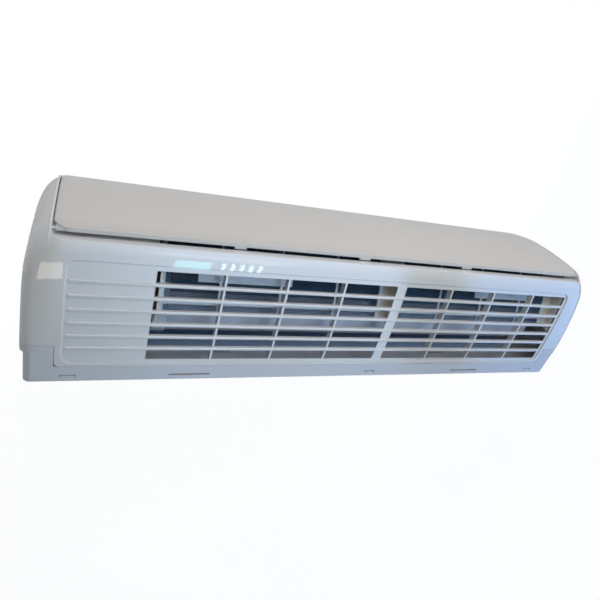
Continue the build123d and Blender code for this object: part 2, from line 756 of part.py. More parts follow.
def chassis_rim():
    """Top strip, end walls, underside and the flanges that meet the casing."""
    half = HALF - CHASSIS_INSET
    outer = block(-half, half, TAB_BACK_Y, 0, BOTTOM, TOP)
    outer = fillet(outer.edges().filter_by(Axis.Y), CHASSIS_CORNER_R)
    inner = block(-half + WALL, half - WALL, TAB_BACK_Y - 1, 1, BOTTOM + WALL, TOP - WALL)
    inner = fillet(inner.edges().filter_by(Axis.Y), CHASSIS_CORNER_R - WALL)
    cover_x = TAB_X + SEAM_GAP
    cover = block(-cover_x, cover_x, TAB_BACK_Y - 1, SEAM_Y + SEAM_GAP, TOP - WALL - 1, TOP + 1)
    rim = outer - inner - cover
    low = BOTTOM + RIM_TRIM
    high = TOP - RIM_TRIM
    ring_zone = block(-HALF - 1, HALF + 1, TAB_Y + SEAM_GAP, TAB_BACK_Y, low, high)
    ends_only = block(-TAB_X - SEAM_GAP, TAB_X + SEAM_GAP, TAB_Y - 1, 0, BOTTOM - 2, TOP + 2)
    flanges = (hull(0) - hull(WALL)) & ring_zone
    web_zone = block(-HALF - 1, HALF + 1, TAB_BACK_Y - WALL, TAB_BACK_Y, low, high)
    web = (hull(0) & web_zone) - block(-half + WALL, half - WALL, FRONT, 0, BOTTOM + WALL, TOP - WALL)
    floor = block(
        -BOTTOM_PLATE_X, BOTTOM_PLATE_X, BOTTOM_SPLIT_Y + SEAM_GAP, TAB_BACK_Y, BOTTOM, BOTTOM + WALL
    )
    return rim + (flanges - ends_only) + (web - ends_only) + floor


def latch_cuts():
    """U-shaped slits and long slots in the top strip."""
    cuts = []
    z0 = TOP - WALL - 1
    z1 = TOP + 1
    for x in LATCH_X:
        half = LATCH_WIDTH / 2
        cuts.append(block(x - half, x + half, SLOT_Y, SLOT_Y + LATCH_SLIT, z0, z1))
        for side in (-1, 1):
            edge = x + side * half
            cuts.append(block(edge - LATCH_SLIT / 2, edge + LATCH_SLIT / 2, SLOT_Y, SLOT_Y + 4, z0, z1))
    for x0, x1 in SLOT_X:
        cuts.append(block(x0, x1, SLOT_Y + 0.6, SLOT_Y + 0.6 + SLOT_WIDTH, z0, z1))
    return cuts


def rear_chassis():
    """Back moulding: rim, back wall, scroll, pipe channel, end walls and motor cradle."""
    half = HALF - CHASSIS_INSET - WALL
    right = DUCT_RIGHT_X + PARTITION
    left = DUCT_LEFT_X - PARTITION
    chassis = chassis_rim()
    chassis += block(-half, half, BACK_Y, BACK_Y + BACK_WALL, CHANNEL_TOP_Z, TOP - WALL)
    chassis += prism(band(SCROLL, 0, SCROLL_T), left, right)
    chassis += block(-half, right, -58, BACK_Y + 1, CHANNEL_TOP_Z - WALL, CHANNEL_TOP_Z)
    chassis += block(left, right, -24, BACK_Y + 1, 10, 10 + WALL)
    chassis += partition(DUCT_RIGHT_X)
    chassis += partition(left)
    chassis += block(-half, left, TAB_BACK_Y, BACK_Y + 1, -40, -40 + WALL)
    scroll_low = block(left, right, -93, -76, BOTTOM, -138)
    chassis += scroll_low & inset_section_prism(left, right, WALL + TOUCH_GAP)
    cradle_x = (MOTOR_LEFT_X + CRADLE_INSET, MOTOR_RIGHT_X - CRADLE_INSET)
    cradle_front = FAN_Y - MOTOR_R - CLAMP_FOOT
    cradle_low = FAN_Z - MOTOR_R - CRADLE_WALL
    cradle_top = FAN_Z - CLAMP_DROP
    cradle = block(*cradle_x, cradle_front, BACK_Y, cradle_low - CRADLE_WALL, cradle_top)
    cradle -= rod_x(MOTOR_LEFT_X, MOTOR_RIGHT_X, FAN_Y, FAN_Z, MOTOR_R + TOUCH_GAP)
    chassis += cradle
    cradle_hollow = (cradle_x[0] + 3, cradle_x[1] - 3)
    chassis -= block(*cradle_hollow, cradle_front - 1, BACK_Y - 4, cradle_low - 10, cradle_low)
    chassis -= rod_x(left - 1, DUCT_LEFT_X + 1, FAN_Y, FAN_Z, BEARING_R)
    chassis -= rod_x(DUCT_RIGHT_X - 1, right + 1, FAN_Y, FAN_Z, BEARING_R)
    for x0, x1 in ((left - 1, DUCT_LEFT_X + 1), (DUCT_RIGHT_X - 1, right + 1)):
        chassis -= rod_x(x0, x1, *LOUVER_PIVOT, LOUVER_PIN_R + RUNNING_GAP)
    for group in (0, 1):
        for x in vane_places(group):
            chassis -= vane_rod(x, -8, VANE_LOW_ALONG, VANE_AXIS_INWARD, VANE_PIN_R + RUNNING_GAP)
    for x in HOOK_X:
        reach = HOOK_WIDTH / 2 + 3
        chassis -= block(x - reach, x + reach, BACK_Y - 1, 0, HOOK_Z - HOOK_LIFT - 2, HOOK_Z + HOOK_T / 2)
    for cut in latch_cuts():
        chassis -= cut
    return chassis


def inset_section_prism(x0, x1, inset):
    """Space inside the casing's section between two X places."""
    return prism(inset_section(inset), x0, x1)


# Front panel


def front_panel():
    """Curved cover with hinge lugs, hooks and stiffening ribs at its back."""
    high = PANEL_TOP_Z
    low = PANEL_LOW_Z
    outline = RectangleRounded(2 * PANEL_HALF, high - low, PANEL_CORNER_R)
    outline += Pos(0, -(high - low) / 4) * RectangleRounded(2 * PANEL_HALF, (high - low) / 2, 3)
    plane = Plane.XZ.offset(-FRONT + 5)
    column = extrude(plane * Pos(0, (high + low) / 2) * outline, amount=DEPTH * 0.6, dir=(0, 1, 0))
    shell = (hull(0) - hull(PANEL_T)) & column
    lug_face = Pos(HINGE_Y, HINGE_Z) * Circle(HINGE_LUG_R)
    lug_face += polygon(
        [
            (HINGE_Y - HINGE_LUG_R, HINGE_Z),
            (HINGE_Y + HINGE_LUG_R, HINGE_Z),
            (HINGE_Y + 1, HINGE_Z - 16),
            (HINGE_Y - HINGE_LUG_R, HINGE_Z - 16),
        ]
    )
    lug_face &= inset_section(PANEL_T / 2)
    for side in (-1, 1):
        x0 = side * (PANEL_HALF - 2)
        x1 = side * (PANEL_HALF - 2 - HINGE_LUG_WIDTH)
        shell += prism(lug_face, min(x0, x1), max(x0, x1))
    hook_z = STRIP_BOTTOM_Z - 0.8
    hook_y = LEDGE_Y - 0.8
    hook_face = polygon(
        [(hook_y - 5.2, hook_z), (hook_y, hook_z), (hook_y, hook_z - 3.2), (hook_y - 5.2, hook_z - 10.2)]
    )
    hook_face &= inset_section(PANEL_T / 2)
    for x, width in HOOK_BLOCKS:
        shell += prism(hook_face, x - width / 2, x + width / 2)
    rib = inset_section(PANEL_T / 2) - inset_section(PANEL_T + PANEL_RIB)
    for z in (95.0, 40.0, -60.0):
        zone = block(-PANEL_HALF + 20, PANEL_HALF - 20, FRONT, FRONT / 2, z - 1, z + 1)
        shell += prism(rib, -PANEL_HALF + 20, PANEL_HALF - 20) & zone
    pin_reach = HINGE_PIN_R + RUNNING_GAP
    for side in (-1, 1):
        x0 = side * (PANEL_HALF + 1)
        x1 = side * (PANEL_HALF - 2 - HINGE_LUG_WIDTH - 1)
        shell -= rod_x(min(x0, x1), max(x0, x1), HINGE_Y, HINGE_Z, pin_reach)
    return shell


def panel_hinge_pins():
    """Pins that stand on the recess side walls."""
    pins = []
    for side in (-1, 1):
        x0 = side * (RECESS_X + HINGE_PIN_SEAT)
        x1 = side * (PANEL_HALF - 2 - HINGE_LUG_WIDTH + HINGE_PIN_GRIP)
        pins.append(rod_x(min(x0, x1), max(x0, x1), HINGE_Y, HINGE_Z, HINGE_PIN_R))
    return Compound(children=pins)


def screw_caps():
    """Caps over the casing screws, flush with the surface."""
    face = front_y(SCREW_Z)
    layer = prism(inset_section(0) - inset_section(CAP_T), SCREW_X[0] - 10, SCREW_X[-1] + 10)
    caps = [layer & rod_y(x, face - 12, face + 12, SCREW_Z, CAP_R) for x in SCREW_X]
    return Compound(children=[cap.solid() for cap in caps])


def casing_screws():
    """Screws from the casing's lower strip into the drain pan's front wall."""
    seat = front_y(SCREW_Z) + SCREW_SEAT
    tip = PAN_LIP_Y + PAN_LIP_T - 0.5
    screws = []
    for x in SCREW_X:
        head = rod_y(x, seat - SCREW_HEAD_H, seat, SCREW_Z, SCREW_HEAD_R)
        cross = block(x - 2, x + 2, seat - 3, seat - 1.0, SCREW_Z - 0.4, SCREW_Z + 0.4)
        cross += block(x - 0.4, x + 0.4, seat - 3, seat - 1.0, SCREW_Z - 2, SCREW_Z + 2)
        screws.append((head - cross + rod_y(x, seat, tip, SCREW_Z, SCREW_R)).solid())
    return Compound(children=screws)


def receiver_window():
    """Tinted lens let into the sloped face beside the outlet."""
    return lens_cutter(0, WALL, -RUNNING_GAP)


# Filters and their rails


def filter_span(side):
    """X reach of the right (1) or left (-1) filter."""
    edge = CENTRE_RAIL_HALF + TOUCH_GAP
    if side > 0:
        return (MULLION_X + edge, FILTER_RIGHT_X)
    return (FILTER_LEFT_X, MULLION_X - edge)


def filter_bars(side):
    """X of the frame's long bars, each under a grille rib."""
    x0, x1 = filter_span(side)
    return [x for x in rib_places() if x0 + 10 < x < x1 - 10]


def filter_cross_bars():
    """Y and Z limits of the cross bars that divide each filter, as YZ boxes."""
    return [(-106, -101, 100, 140), (-180, -165, 62, 66), (-180, -165, 8, 12)]


def filter_frame(side):
    """Frame of one filter: edge, long bars and cross bars."""
    x0, x1 = filter_span(side)
    sheet = prism(band(FILTER_PATH, -FILTER_T / 2, FILTER_T / 2), x0, x1)
    ends = polygon([(-92, 140), (-84, 140), (-84, 120), (-92, 120)])
    keep = [
        block(x0, x0 + FRAME_EDGE, FRONT, 0, BOTTOM, TOP),
        block(x1 - FRAME_EDGE, x1, FRONT, 0, BOTTOM, TOP),
    ]
    keep.append(prism(ends, x0, x1))
    keep.append(block(x0, x1, FRONT, 0, -40, -28))
    for x in filter_bars(side):
        keep.append(block(x - FRAME_BAR / 2, x + FRAME_BAR / 2, FRONT, 0, BOTTOM, TOP))
    for y0, y1, z0, z1 in filter_cross_bars():
        keep.append(block(x0, x1, y0, y1, z0, z1))
    near, far = [MULLION_X + side * reach for reach in HANDLE_REACH]
    keep.append(block(near, far, *HANDLE_Y, BOTTOM, TOP))
    lattice = keep[0]
    for piece in keep[1:]:
        lattice += piece
    slot = NET_T / 2 + RUNNING_GAP
    reach = FRAME_EDGE / 2 - RUNNING_GAP
    groove = prism(band(FILTER_PATH, -slot, slot), x0 + reach, x1 - reach)
    return (sheet & lattice) - groove


def filter_net(side):
    """Fine net held in the middle of the frame."""
    x0, x1 = filter_span(side)
    return prism(band(FILTER_PATH, -NET_T / 2, NET_T / 2), x0 + FRAME_EDGE / 2, x1 - FRAME_EDGE / 2)


def rail(web_x, floor_x0, floor_x1, ridge_x0, ridge_x1):
    """Guide rail: a web up to the casing's top, a floor under the filter's edge and a ridge beside it."""
    under = -FILTER_T / 2 - TOUCH_GAP
    floor_band = band(FILTER_PATH, -under, -under + RAIL_FLOOR)
    ridge_band = band(FILTER_PATH, under + TOUCH_GAP, -under + RAIL_FLOOR / 2)
    above_pan = block(floor_x0 - 1, floor_x1 + 1, FRONT, 0, PAN_OUTLINE[0][1] + TOUCH_GAP, TOP)
    floor_piece = (prism(floor_band, floor_x0, floor_x1) + prism(ridge_band, ridge_x0, ridge_x1)) & above_pan
    seat = shifted(FILTER_PATH, -under + RAIL_FLOOR / 2)[:9]
    above = polygon(seat + [(-200, 30), (-200, 160), (-84, 160)])
    reach = polygon([(-84, 0), (-84, 160), (-173.5, 160), (-173.5, 0)])
    web_face = above & reach & inset_section(BAR_HEIGHT + TOUCH_GAP)
    web = prism(web_face, web_x - RAIL_WEB / 2, web_x + RAIL_WEB / 2)
    return floor_piece + web


def centre_rail():
    """Rail under the mullion, between the two filters."""
    half = CENTRE_RAIL_HALF
    reach = half + RAIL_LIP
    return rail(MULLION_X, MULLION_X - reach, MULLION_X + reach, MULLION_X - half, MULLION_X + half)


def end_rail_left():
    """Rail at the far end, beside the left filter."""
    end = WINDOW_LEFT_X - 1
    ridge_end = FILTER_LEFT_X - TOUCH_GAP
    return rail(end + RAIL_WEB / 2, end, FILTER_LEFT_X + RAIL_LIP, end, ridge_end)


def end_rail_right():
    """Rail beside the right filter, in front of the coil cover."""
    start = FILTER_RIGHT_X + TOUCH_GAP
    end = start + RAIL_WEB
    return rail(start + RAIL_WEB / 2, FILTER_RIGHT_X - RAIL_LIP, end, start, end)


# Coil


def slab_plane(line, x):
    """Plane across a slab's start, with its X along the row's X."""
    (y0, z0), (y1, z1) = line
    return Plane(origin=(x, y0, z0), x_dir=(1, 0, 0), z_dir=(0, y1 - y0, z1 - z0))


def slab_length(line):
    """Length of a slab's section."""
    return hypot(line[1][0] - line[0][0], line[1][1] - line[0][1])


def slab(line):
    """Finned block: grooves between the fins on both faces."""
    half = SLAB_T / 2
    length = COIL_RIGHT_X - COIL_LEFT_X
    count = int(length / FIN_PITCH)
    gap = FIN_GROOVE / 2
    upper = []
    for i in range(1, count):
        x = i * FIN_PITCH
        upper += [(x - gap, half), (x - gap, half - 3), (x + gap, half - 3), (x + gap, half)]
    lower = [(x, -t) for x, t in reversed(upper)]
    points = [(0, half)] + upper + [(length, half), (length, -half)] + lower + [(0, -half)]
    face = make_face(Polyline(*points, close=True))
    return extrude(slab_plane(line, COIL_LEFT_X) * face, amount=slab_length(line))


def tube_rows(line):
    """Positions (y, z) of a slab's tubes, two rows."""
    (y0, z0), (y1, z1) = line
    length = slab_length(line)
    unit = ((y1 - y0) / length, (z1 - z0) / length)
    side = (-unit[1], unit[0])
    count = 2 * int((length - 8) / TUBE_PITCH / 2)
    first = (length - (count - 1) * TUBE_PITCH) / 2
    rows = []
    for row in (-1, 1):
        offset = row * SLAB_T / 4
        rows.append(
            [
                (
                    y0 + unit[0] * (first + i * TUBE_PITCH) + side[0] * offset,
                    z0 + unit[1] * (first + i * TUBE_PITCH) + side[1] * offset,
                )
                for i in range(count)
            ]
        )
    return rows


def slab_corners(line):
    """Four corners of a slab's section: both sides of its start, then both sides of its end."""
    (y0, z0), (y1, z1) = line
    length = slab_length(line)
    side_y = -(z1 - z0) / length * SLAB_T / 2
    side_z = (y1 - y0) / length * SLAB_T / 2
    return [
        (y0 + side_y, z0 + side_z),
        (y0 - side_y, z0 - side_z),
        (y1 - side_y, z1 - side_z),
        (y1 + side_y, z1 + side_z),
    ]


def tube_plates():
    """Bent outline of one sheet plate at each end of the three slabs."""
    upper = slab_corners(SLAB_UPPER)
    lower = slab_corners(SLAB_LOWER)
    rear = slab_corners(SLAB_REAR)
    outline = polygon(upper) + polygon(lower) + polygon(rear)
    outline += polygon([upper[3], upper[2], lower[1], lower[0]])
    outline += polygon([upper[0], upper[1], rear[0], rear[1]])
    plates = []
    for x in (COIL_LEFT_X - PLATE_T, COIL_RIGHT_X):
        plates.append(prism(outline, x, x + PLATE_T).solid())
    return Compound(children=plates)


def bend(x, direction, first, second, straight):
    """U-shaped tube end between two tubes."""
    mid_y = (first[0] + second[0]) / 2
    mid_z = (first[1] + second[1]) / 2
    radius = hypot(first[0] - second[0], first[1] - second[1]) / 2
    turn_x = x + direction * straight
    path = Line((x, *first), (turn_x, *first))
    path += ThreePointArc((turn_x, *first), (turn_x + direction * radius, mid_y, mid_z), (turn_x, *second))
    path += Line((turn_x, *second), (x, *second))
    start = Plane(origin=(x, *first), z_dir=(direction, 0, 0))
    return sweep(start * Circle(TUBE_R), path=path).solid()


def return_bends():
    """Copper bends at the left end of the coil."""
    x = COIL_LEFT_X - PLATE_T
    bends = []
    for line in (SLAB_UPPER, SLAB_LOWER, SLAB_REAR):
        for row in tube_rows(line):
            for i in range(0, len(row) - 1, 2):
                bends.append(bend(x, -1, row[i], row[i + 1], 5))
    return Compound(children=bends)


def apex_strip():
    """Folded strip that closes the gap between the upper and rear slabs."""
    upper = slab_corners(SLAB_UPPER)[1]
    rear = slab_corners(SLAB_REAR)[0]
    points = [
        (upper[0] - 7.5, upper[1] - 6.5),
        (upper[0] - 0.6, upper[1] + 0.8),
        (upper[0] + 12, upper[1] + 2.2),
        (rear[0] - 10, rear[1] + 8),
        (rear[0] + 0.7, rear[1] + 0.8),
        (rear[0] + 4.4, rear[1] - 8.0),
    ]
    face = polygon(points + list(reversed(shifted(points, STRIP_T))))
    return prism(face, COIL_LEFT_X, COIL_RIGHT_X)


def coil_end_cover():
    """Cover over the coil's end plates, arched along the slabs."""
    arch = prism(band(COIL_COVER_PATH, 0, COVER_T), COVER_X[0], COVER_X[1])
    flange = prism(band(COIL_COVER_PATH, -COVER_FLANGE, COVER_T / 2), COVER_X[0], COVER_X[0] + COVER_T / 2)
    side = prism(band(COIL_COVER_PATH, -COVER_SIDE, COVER_T / 2), COVER_X[1] - COVER_T, COVER_X[1])
    cover = arch + flange + side
    for (y, z), r in ((tube_rows(SLAB_REAR)[1][-1], GAS_R), (tube_rows(SLAB_REAR)[1][-2], LIQUID_R)):
        cover -= rod_x(COVER_X[0] - 1, COVER_X[1] + 1, y, z, r + TOUCH_GAP)
    return cover


# Drain pan


def drain_pan():
    """Trough under the front slabs, with the outlet's upper wall below it."""
    pan = prism(polygon(PAN_OUTLINE), DUCT_LEFT_X, DUCT_RIGHT_X)
    slab_foot = min(z for _, z in slab_corners(SLAB_LOWER)) - TOUCH_GAP
    trough = polygon(
        [(-167.5, -24), (-158.5, -56), (-136.5, -56), (-127.5, -47), (-130, -36), (-150, slab_foot)]
    )
    pan += prism(trough, DUCT_LEFT_X, DUCT_LEFT_X + PAN_END)
    pan += prism(trough, DUCT_RIGHT_X - PAN_END, DUCT_RIGHT_X)
    for x in (COIL_LEFT_X + 2, COIL_RIGHT_X - 2 - PAN_LEDGE):
        ledge = block(x, x + PAN_LEDGE, -163, -137, -54, slab_foot)
        pan += ledge & prism(trough, x, x + PAN_LEDGE)
    for x in SCREW_X:
        pan -= rod_y(x, PAN_LIP_Y - 1, PAN_LIP_Y + PAN_LIP_T - 0.5, SCREW_Z, SCREW_R)
    for x in (DUCT_LEFT_X, DUCT_RIGHT_X - PAN_END):
        pan -= rod_x(x - 1, x + PAN_END + 1, DRAIN_Y, DRAIN_Z, DRAIN_R)
    return pan


def drain_plug():
    """Rubber plug in the drain pan's unused end."""
    seat = DUCT_LEFT_X - PARTITION
    head = rod_x(seat - PLUG_HEAD_T, seat, DRAIN_Y, DRAIN_Z, PLUG_HEAD_R)
    return head + rod_x(seat, DUCT_LEFT_X + PAN_END + 2, DRAIN_Y, DRAIN_Z, DRAIN_R)


def drain_spout():
    """Elbow at the pan's right end, with the hose spout running back under the motor."""
    seat = DUCT_RIGHT_X + PARTITION
    side = SPOUT_X + SPOUT_R + 1
    spout = block(seat, side, DRAIN_Y - 5, SPOUT_FRONT_Y + 7, DRAIN_Z - 7, DRAIN_Z + 7)
    spout += block(seat, side, SPOUT_FRONT_Y - 2, SPOUT_FRONT_Y + 7, SPOUT_Z - SPOUT_R - 1, DRAIN_Z)
    spout += rod_x(DUCT_RIGHT_X - PAN_END, seat + 2, DRAIN_Y, DRAIN_Z, DRAIN_R)
    spout += rod_y(SPOUT_X, SPOUT_FRONT_Y + 5, SPOUT_END_Y, SPOUT_Z, SPOUT_R)
    bead = SPOUT_END_Y - SPOUT_LAND
    spout += rod_y(SPOUT_X, bead - SPOUT_BEAD, bead, SPOUT_Z, SPOUT_R + 1)
    spout -= rod_x(DUCT_RIGHT_X - PAN_END - 1, SPOUT_X, DRAIN_Y, DRAIN_Z, DRAIN_R - 1.2)
    spout -= block(SPOUT_X - 4, SPOUT_X + 4, DRAIN_Y - 2, SPOUT_FRONT_Y + 5, DRAIN_Z - 4, DRAIN_Z + 4)
    spout -= block(SPOUT_X - 4, SPOUT_X + 4, SPOUT_FRONT_Y, SPOUT_FRONT_Y + 5, SPOUT_Z - 4, DRAIN_Z)
    return spout - rod_y(SPOUT_X, SPOUT_FRONT_Y + 4, SPOUT_END_Y + 1, SPOUT_Z, SPOUT_BORE_R)


# Fan and its drive


def crossflow_fan():
    """Cross-flow wheel: curved blades between rings, with a plate at each end."""
    radius = (FAN_R + FAN_INNER_R) / 2
    angles = (0, 9, 16)
    reaches = (FAN_INNER_R, radius, FAN_R - 0.4)
    points = [(r * cos(radians(a)), r * sin(radians(a))) for r, a in zip(reaches, angles)]
    blade = band(points, -BLADE_T / 2, BLADE_T / 2)
    ring = Circle(FAN_R) - Circle(FAN_INNER_R - 1)
    wheel_face = blade
    blades = [Rot(0, 0, 360 * i / BLADE_COUNT) * wheel_face for i in range(BLADE_COUNT)]
    length = FAN_RIGHT_X - FAN_LEFT_X
    pitch = (length - FAN_DISC) / FAN_SEGMENTS
    solids = [prism(Pos(FAN_Y, FAN_Z) * face, FAN_LEFT_X, FAN_RIGHT_X) for face in blades]
    for i in range(1, FAN_SEGMENTS):
        x = FAN_LEFT_X + i * pitch
        solids.append(prism(Pos(FAN_Y, FAN_Z) * ring, x, x + FAN_DISC))
    for x in (FAN_LEFT_X, FAN_RIGHT_X - FAN_DISC):
        solids.append(rod_x(x, x + FAN_DISC, FAN_Y, FAN_Z, FAN_R))
    solids.append(rod_x(FAN_RIGHT_X - 26, FAN_RIGHT_X, FAN_Y, FAN_Z, HUB_R))
    solids.append(rod_x(FAN_LEFT_X, FAN_LEFT_X + 14, FAN_Y, FAN_Z, HUB_R - 6))
    wheel = solids[0] + solids[1:]
    wheel -= rod_x(FAN_LEFT_X - 1, FAN_LEFT_X + 12, FAN_Y, FAN_Z, SHAFT_R)
    wheel -= rod_x(FAN_RIGHT_X - 24, FAN_RIGHT_X + 1, FAN_Y, FAN_Z, MOTOR_SHAFT_R)
    return wheel


def fan_shaft():
    """Stub shaft in the wheel's left end."""
    tip = DUCT_LEFT_X - PARTITION - BEARING_LENGTH + 3
    return rod_x(tip, FAN_LEFT_X + 12, FAN_Y, FAN_Z, SHAFT_R)


def fan_bearing():
    """Sleeve bearing round the stub shaft."""
    x0 = DUCT_LEFT_X - PARTITION - BEARING_LENGTH + 2
    x1 = DUCT_LEFT_X + 1
    sleeve = rod_x(x0, x1, FAN_Y, FAN_Z, BUSH_R)
    return sleeve - rod_x(x0 - 1, x1 + 1, FAN_Y, FAN_Z, SHAFT_R + RUNNING_GAP)


def bearing_seat():
    """Rubber ring that holds the sleeve bearing in the end wall."""
    x0 = DUCT_LEFT_X - PARTITION - BEARING_LENGTH
    ring = rod_x(x0, DUCT_LEFT_X, FAN_Y, FAN_Z, BEARING_R)
    ring += rod_x(x0, DUCT_LEFT_X - PARTITION, FAN_Y, FAN_Z, BEARING_R + 3)
    ring -= rod_x(x0 + 2, DUCT_LEFT_X + 1, FAN_Y, FAN_Z, BUSH_R)
    ring -= rod_x(x0 - 1, x0 + 3, FAN_Y, FAN_Z, SHAFT_R + 1.5)
    return ring


def fan_motor():
    """Motor body with end bosses and cooling rings."""
    body = rod_x(MOTOR_LEFT_X, MOTOR_RIGHT_X, FAN_Y, FAN_Z, MOTOR_R)
    body = fillet(body.edges().filter_by(GeomType.CIRCLE), 4)
    body += rod_x(MOTOR_LEFT_X - 8, MOTOR_LEFT_X, FAN_Y, FAN_Z, 13)
    body += rod_x(MOTOR_RIGHT_X, MOTOR_RIGHT_X + 8, FAN_Y, FAN_Z, 13)
    ring = rod_x(MOTOR_LEFT_X + 14, MOTOR_LEFT_X + 15.5, FAN_Y, FAN_Z, MOTOR_R + 1)
    body -= ring - rod_x(MOTOR_LEFT_X, MOTOR_RIGHT_X, FAN_Y, FAN_Z, MOTOR_R - 1.2)
    bore = rod_x(MOTOR_LEFT_X - 9, MOTOR_LEFT_X + 20, FAN_Y, FAN_Z, MOTOR_SHAFT_R + RUNNING_GAP)
    return body - bore


def motor_shaft():
    """Motor's shaft, fixed in the wheel's hub."""
    return rod_x(FAN_RIGHT_X - 24, MOTOR_LEFT_X + 19, FAN_Y, FAN_Z, MOTOR_SHAFT_R)


def motor_clamp():
    """Band over the motor, with a foot on each side of the cradle."""
    x0, x1 = CLAMP_X
    inner = MOTOR_R + TOUCH_GAP
    foot_z = FAN_Z - CLAMP_DROP
    ring = Circle(inner + CLAMP_T) - Circle(inner)
    ring &= Pos(0, MOTOR_R - CLAMP_DROP) * Rectangle(3 * MOTOR_R, 2 * MOTOR_R)
    clamp = prism(Pos(FAN_Y, FAN_Z) * ring, x0, x1)
    for side in (-1, 1):
        foot_in = FAN_Y + side * (inner + 0.5)
        foot_out = FAN_Y + side * (MOTOR_R + CLAMP_FOOT)
        clamp += block(x0, x1, foot_in, foot_out, foot_z, foot_z + CLAMP_T)
    return clamp


# Louver and vanes


def louver():
    """Horizontal flap that closes the outlet, with lugs and pins at both ends."""
    x0 = DUCT_LEFT_X + LOUVER_END_GAP
    x1 = DUCT_RIGHT_X - LOUVER_END_GAP
    zone = outlet_quad(LOUVER_GAP, OUTLET_WIDTH - LOUVER_GAP, -12, 12)
    blade_face = (inset_section(0) - inset_section(LOUVER_T)) & zone
    flap = prism(blade_face, x0, x1)
    lug = Pos(*LOUVER_PIVOT) * Circle(LOUVER_LUG_R)
    lug += outlet_quad(LOUVER_PIVOT_ALONG - 8, LOUVER_PIVOT_ALONG + 12, 0.8, LOUVER_PIVOT_INWARD - 2)
    lug += outlet_quad(
        LOUVER_PIVOT_ALONG - LOUVER_LUG_R, LOUVER_PIVOT_ALONG + LOUVER_LUG_R, 0.8, LOUVER_PIVOT_INWARD
    )
    for x in (x0, x1 - LOUVER_LUG_T):
        flap += prism(lug, x, x + LOUVER_LUG_T)
    tip = LOUVER_END_GAP + PARTITION
    flap += rod_x(x0 - tip, x0 + 1, *LOUVER_PIVOT, LOUVER_PIN_R)
    flap += rod_x(x1 - 1, x1 + tip, *LOUVER_PIVOT, LOUVER_PIN_R)
    return flap


def louver_motor():
    """Stepping motor behind the right end wall, with its shaft set off towards the louver."""
    x = DUCT_RIGHT_X + PARTITION + TOUCH_GAP
    along = LOUVER_PIVOT_ALONG
    inward = LOUVER_PIVOT_INWARD + LOUVER_MOTOR_OFFSET
    body = rod_x(x, x + LOUVER_MOTOR_T, *outlet_point(along, inward), LOUVER_MOTOR_R)
    ear = outlet_quad(along - LOUVER_MOTOR_EAR, along + LOUVER_MOTOR_EAR, inward - 3, inward + 3)
    socket = outlet_quad(along - 6, along + 6, inward + 4, inward + LOUVER_MOTOR_R + 5)
    return body + prism(ear, x, x + 1) + prism(socket, x + 2, x + LOUVER_MOTOR_T - 2)


def vane_plate(x):
    """One vertical vane with its lower pivot pin and upper link pin."""
    near = VANE_AXIS_INWARD - VANE_CHORD / 2
    far = near + VANE_CHORD - 2
    low = VANE_LOW_ALONG
    high = low + VANE_HEIGHT
    face = polygon(
        [
            outlet_point(low, near + 4),
            outlet_point(high - 6, near),
            outlet_point(high, near + 1),
            outlet_point(high, far - 3),
            outlet_point(high - 12, far),
            outlet_point(low, far),
        ]
    )
    plate = prism(face, x - VANE_T / 2, x + VANE_T / 2)
    plate += vane_rod(x, VANE_LOW_ALONG - 8, low + 6, VANE_AXIS_INWARD, VANE_PIN_R)
    plate += vane_rod(x, low + 0.5, low + 3, VANE_AXIS_INWARD, VANE_PIN_R + 1.2)
    plate += vane_rod(x, high - 4, high + LINK_T + 3, VANE_AXIS_INWARD - LINK_ARM, LINK_PIN_R)
    return plate


def vane_link(group):
    """Bar that joins the four vanes of a group, with a slot for each pin."""
    places = vane_places(group)
    along = VANE_LOW_ALONG + VANE_HEIGHT + 1 + LINK_T / 2
    pin = VANE_AXIS_INWARD - LINK_ARM
    x0 = places[0] - LINK_WIDTH
    x1 = places[-1] + LINK_WIDTH

    def plane(x, inward):
        return Plane(origin=(x, *outlet_point(along, inward)), x_dir=(1, 0, 0), z_dir=ALONG_AXIS)

    outline = RectangleRounded(x1 - x0, LINK_WIDTH, 2)
    bar = extrude(plane((x0 + x1) / 2, pin + 1) * outline, amount=LINK_T / 2, both=True)
    reach = LINK_PIN_R + LINK_PLAY
    sweep_in = LINK_ARM * (1 - cos(radians(VANE_RANGE)))
    slot = RectangleRounded(2 * reach, 2 * reach + sweep_in, reach - 0.05)
    for x in places:
        bar -= extrude(plane(x, pin + sweep_in / 2) * slot, amount=LINK_T, both=True)
    return bar


# Electrical parts


def electrical_box():
    """Open-fronted box with the shelf for the terminal block under it."""
    x0, x1 = BOX_X
    y0, y1 = BOX_Y
    z0, z1 = BOX_Z
    box = block(x0, x1, y0, y1, z0, z1)
    box -= block(x0 + BOX_WALL, x1 - BOX_WALL, y0 - 1, y1 - BOX_WALL, z0 + BOX_WALL, z1 - BOX_WALL)
    box += block(TERMINAL_X[0] - 4, x1, y1 - BOX_WALL, y1, TERMINAL_Z[0] - 6, z0)
    for x in (x0 + 8, x1 - 8):
        for z in (z0 + 8, z1 - 8):
            box += rod_y(x, BOARD_Y, y1 - 1, z, 3)
    box -= block(x0 - 1, x0 + BOX_WALL + 1, y0 + 8, y0 + 20, 60, 76)
    return box


def box_cover():
    """Lid over the electrical box."""
    x0, x1 = BOX_X
    lid = block(x0, x1, BOX_Y[0] - COVER_LID, BOX_Y[0], BOX_Z[0], BOX_Z[1])
    lip = block(x0 + 2.3, x1 - 2.3, BOX_Y[0] - 0.5, BOX_Y[0] + 3, BOX_Z[0] + 2.3, BOX_Z[1] - 2.3)
    lip -= block(x0 + 4, x1 - 4, BOX_Y[0] - 1, BOX_Y[0] + 4, BOX_Z[0] + 4, BOX_Z[1] - 4)
    return lid + lip


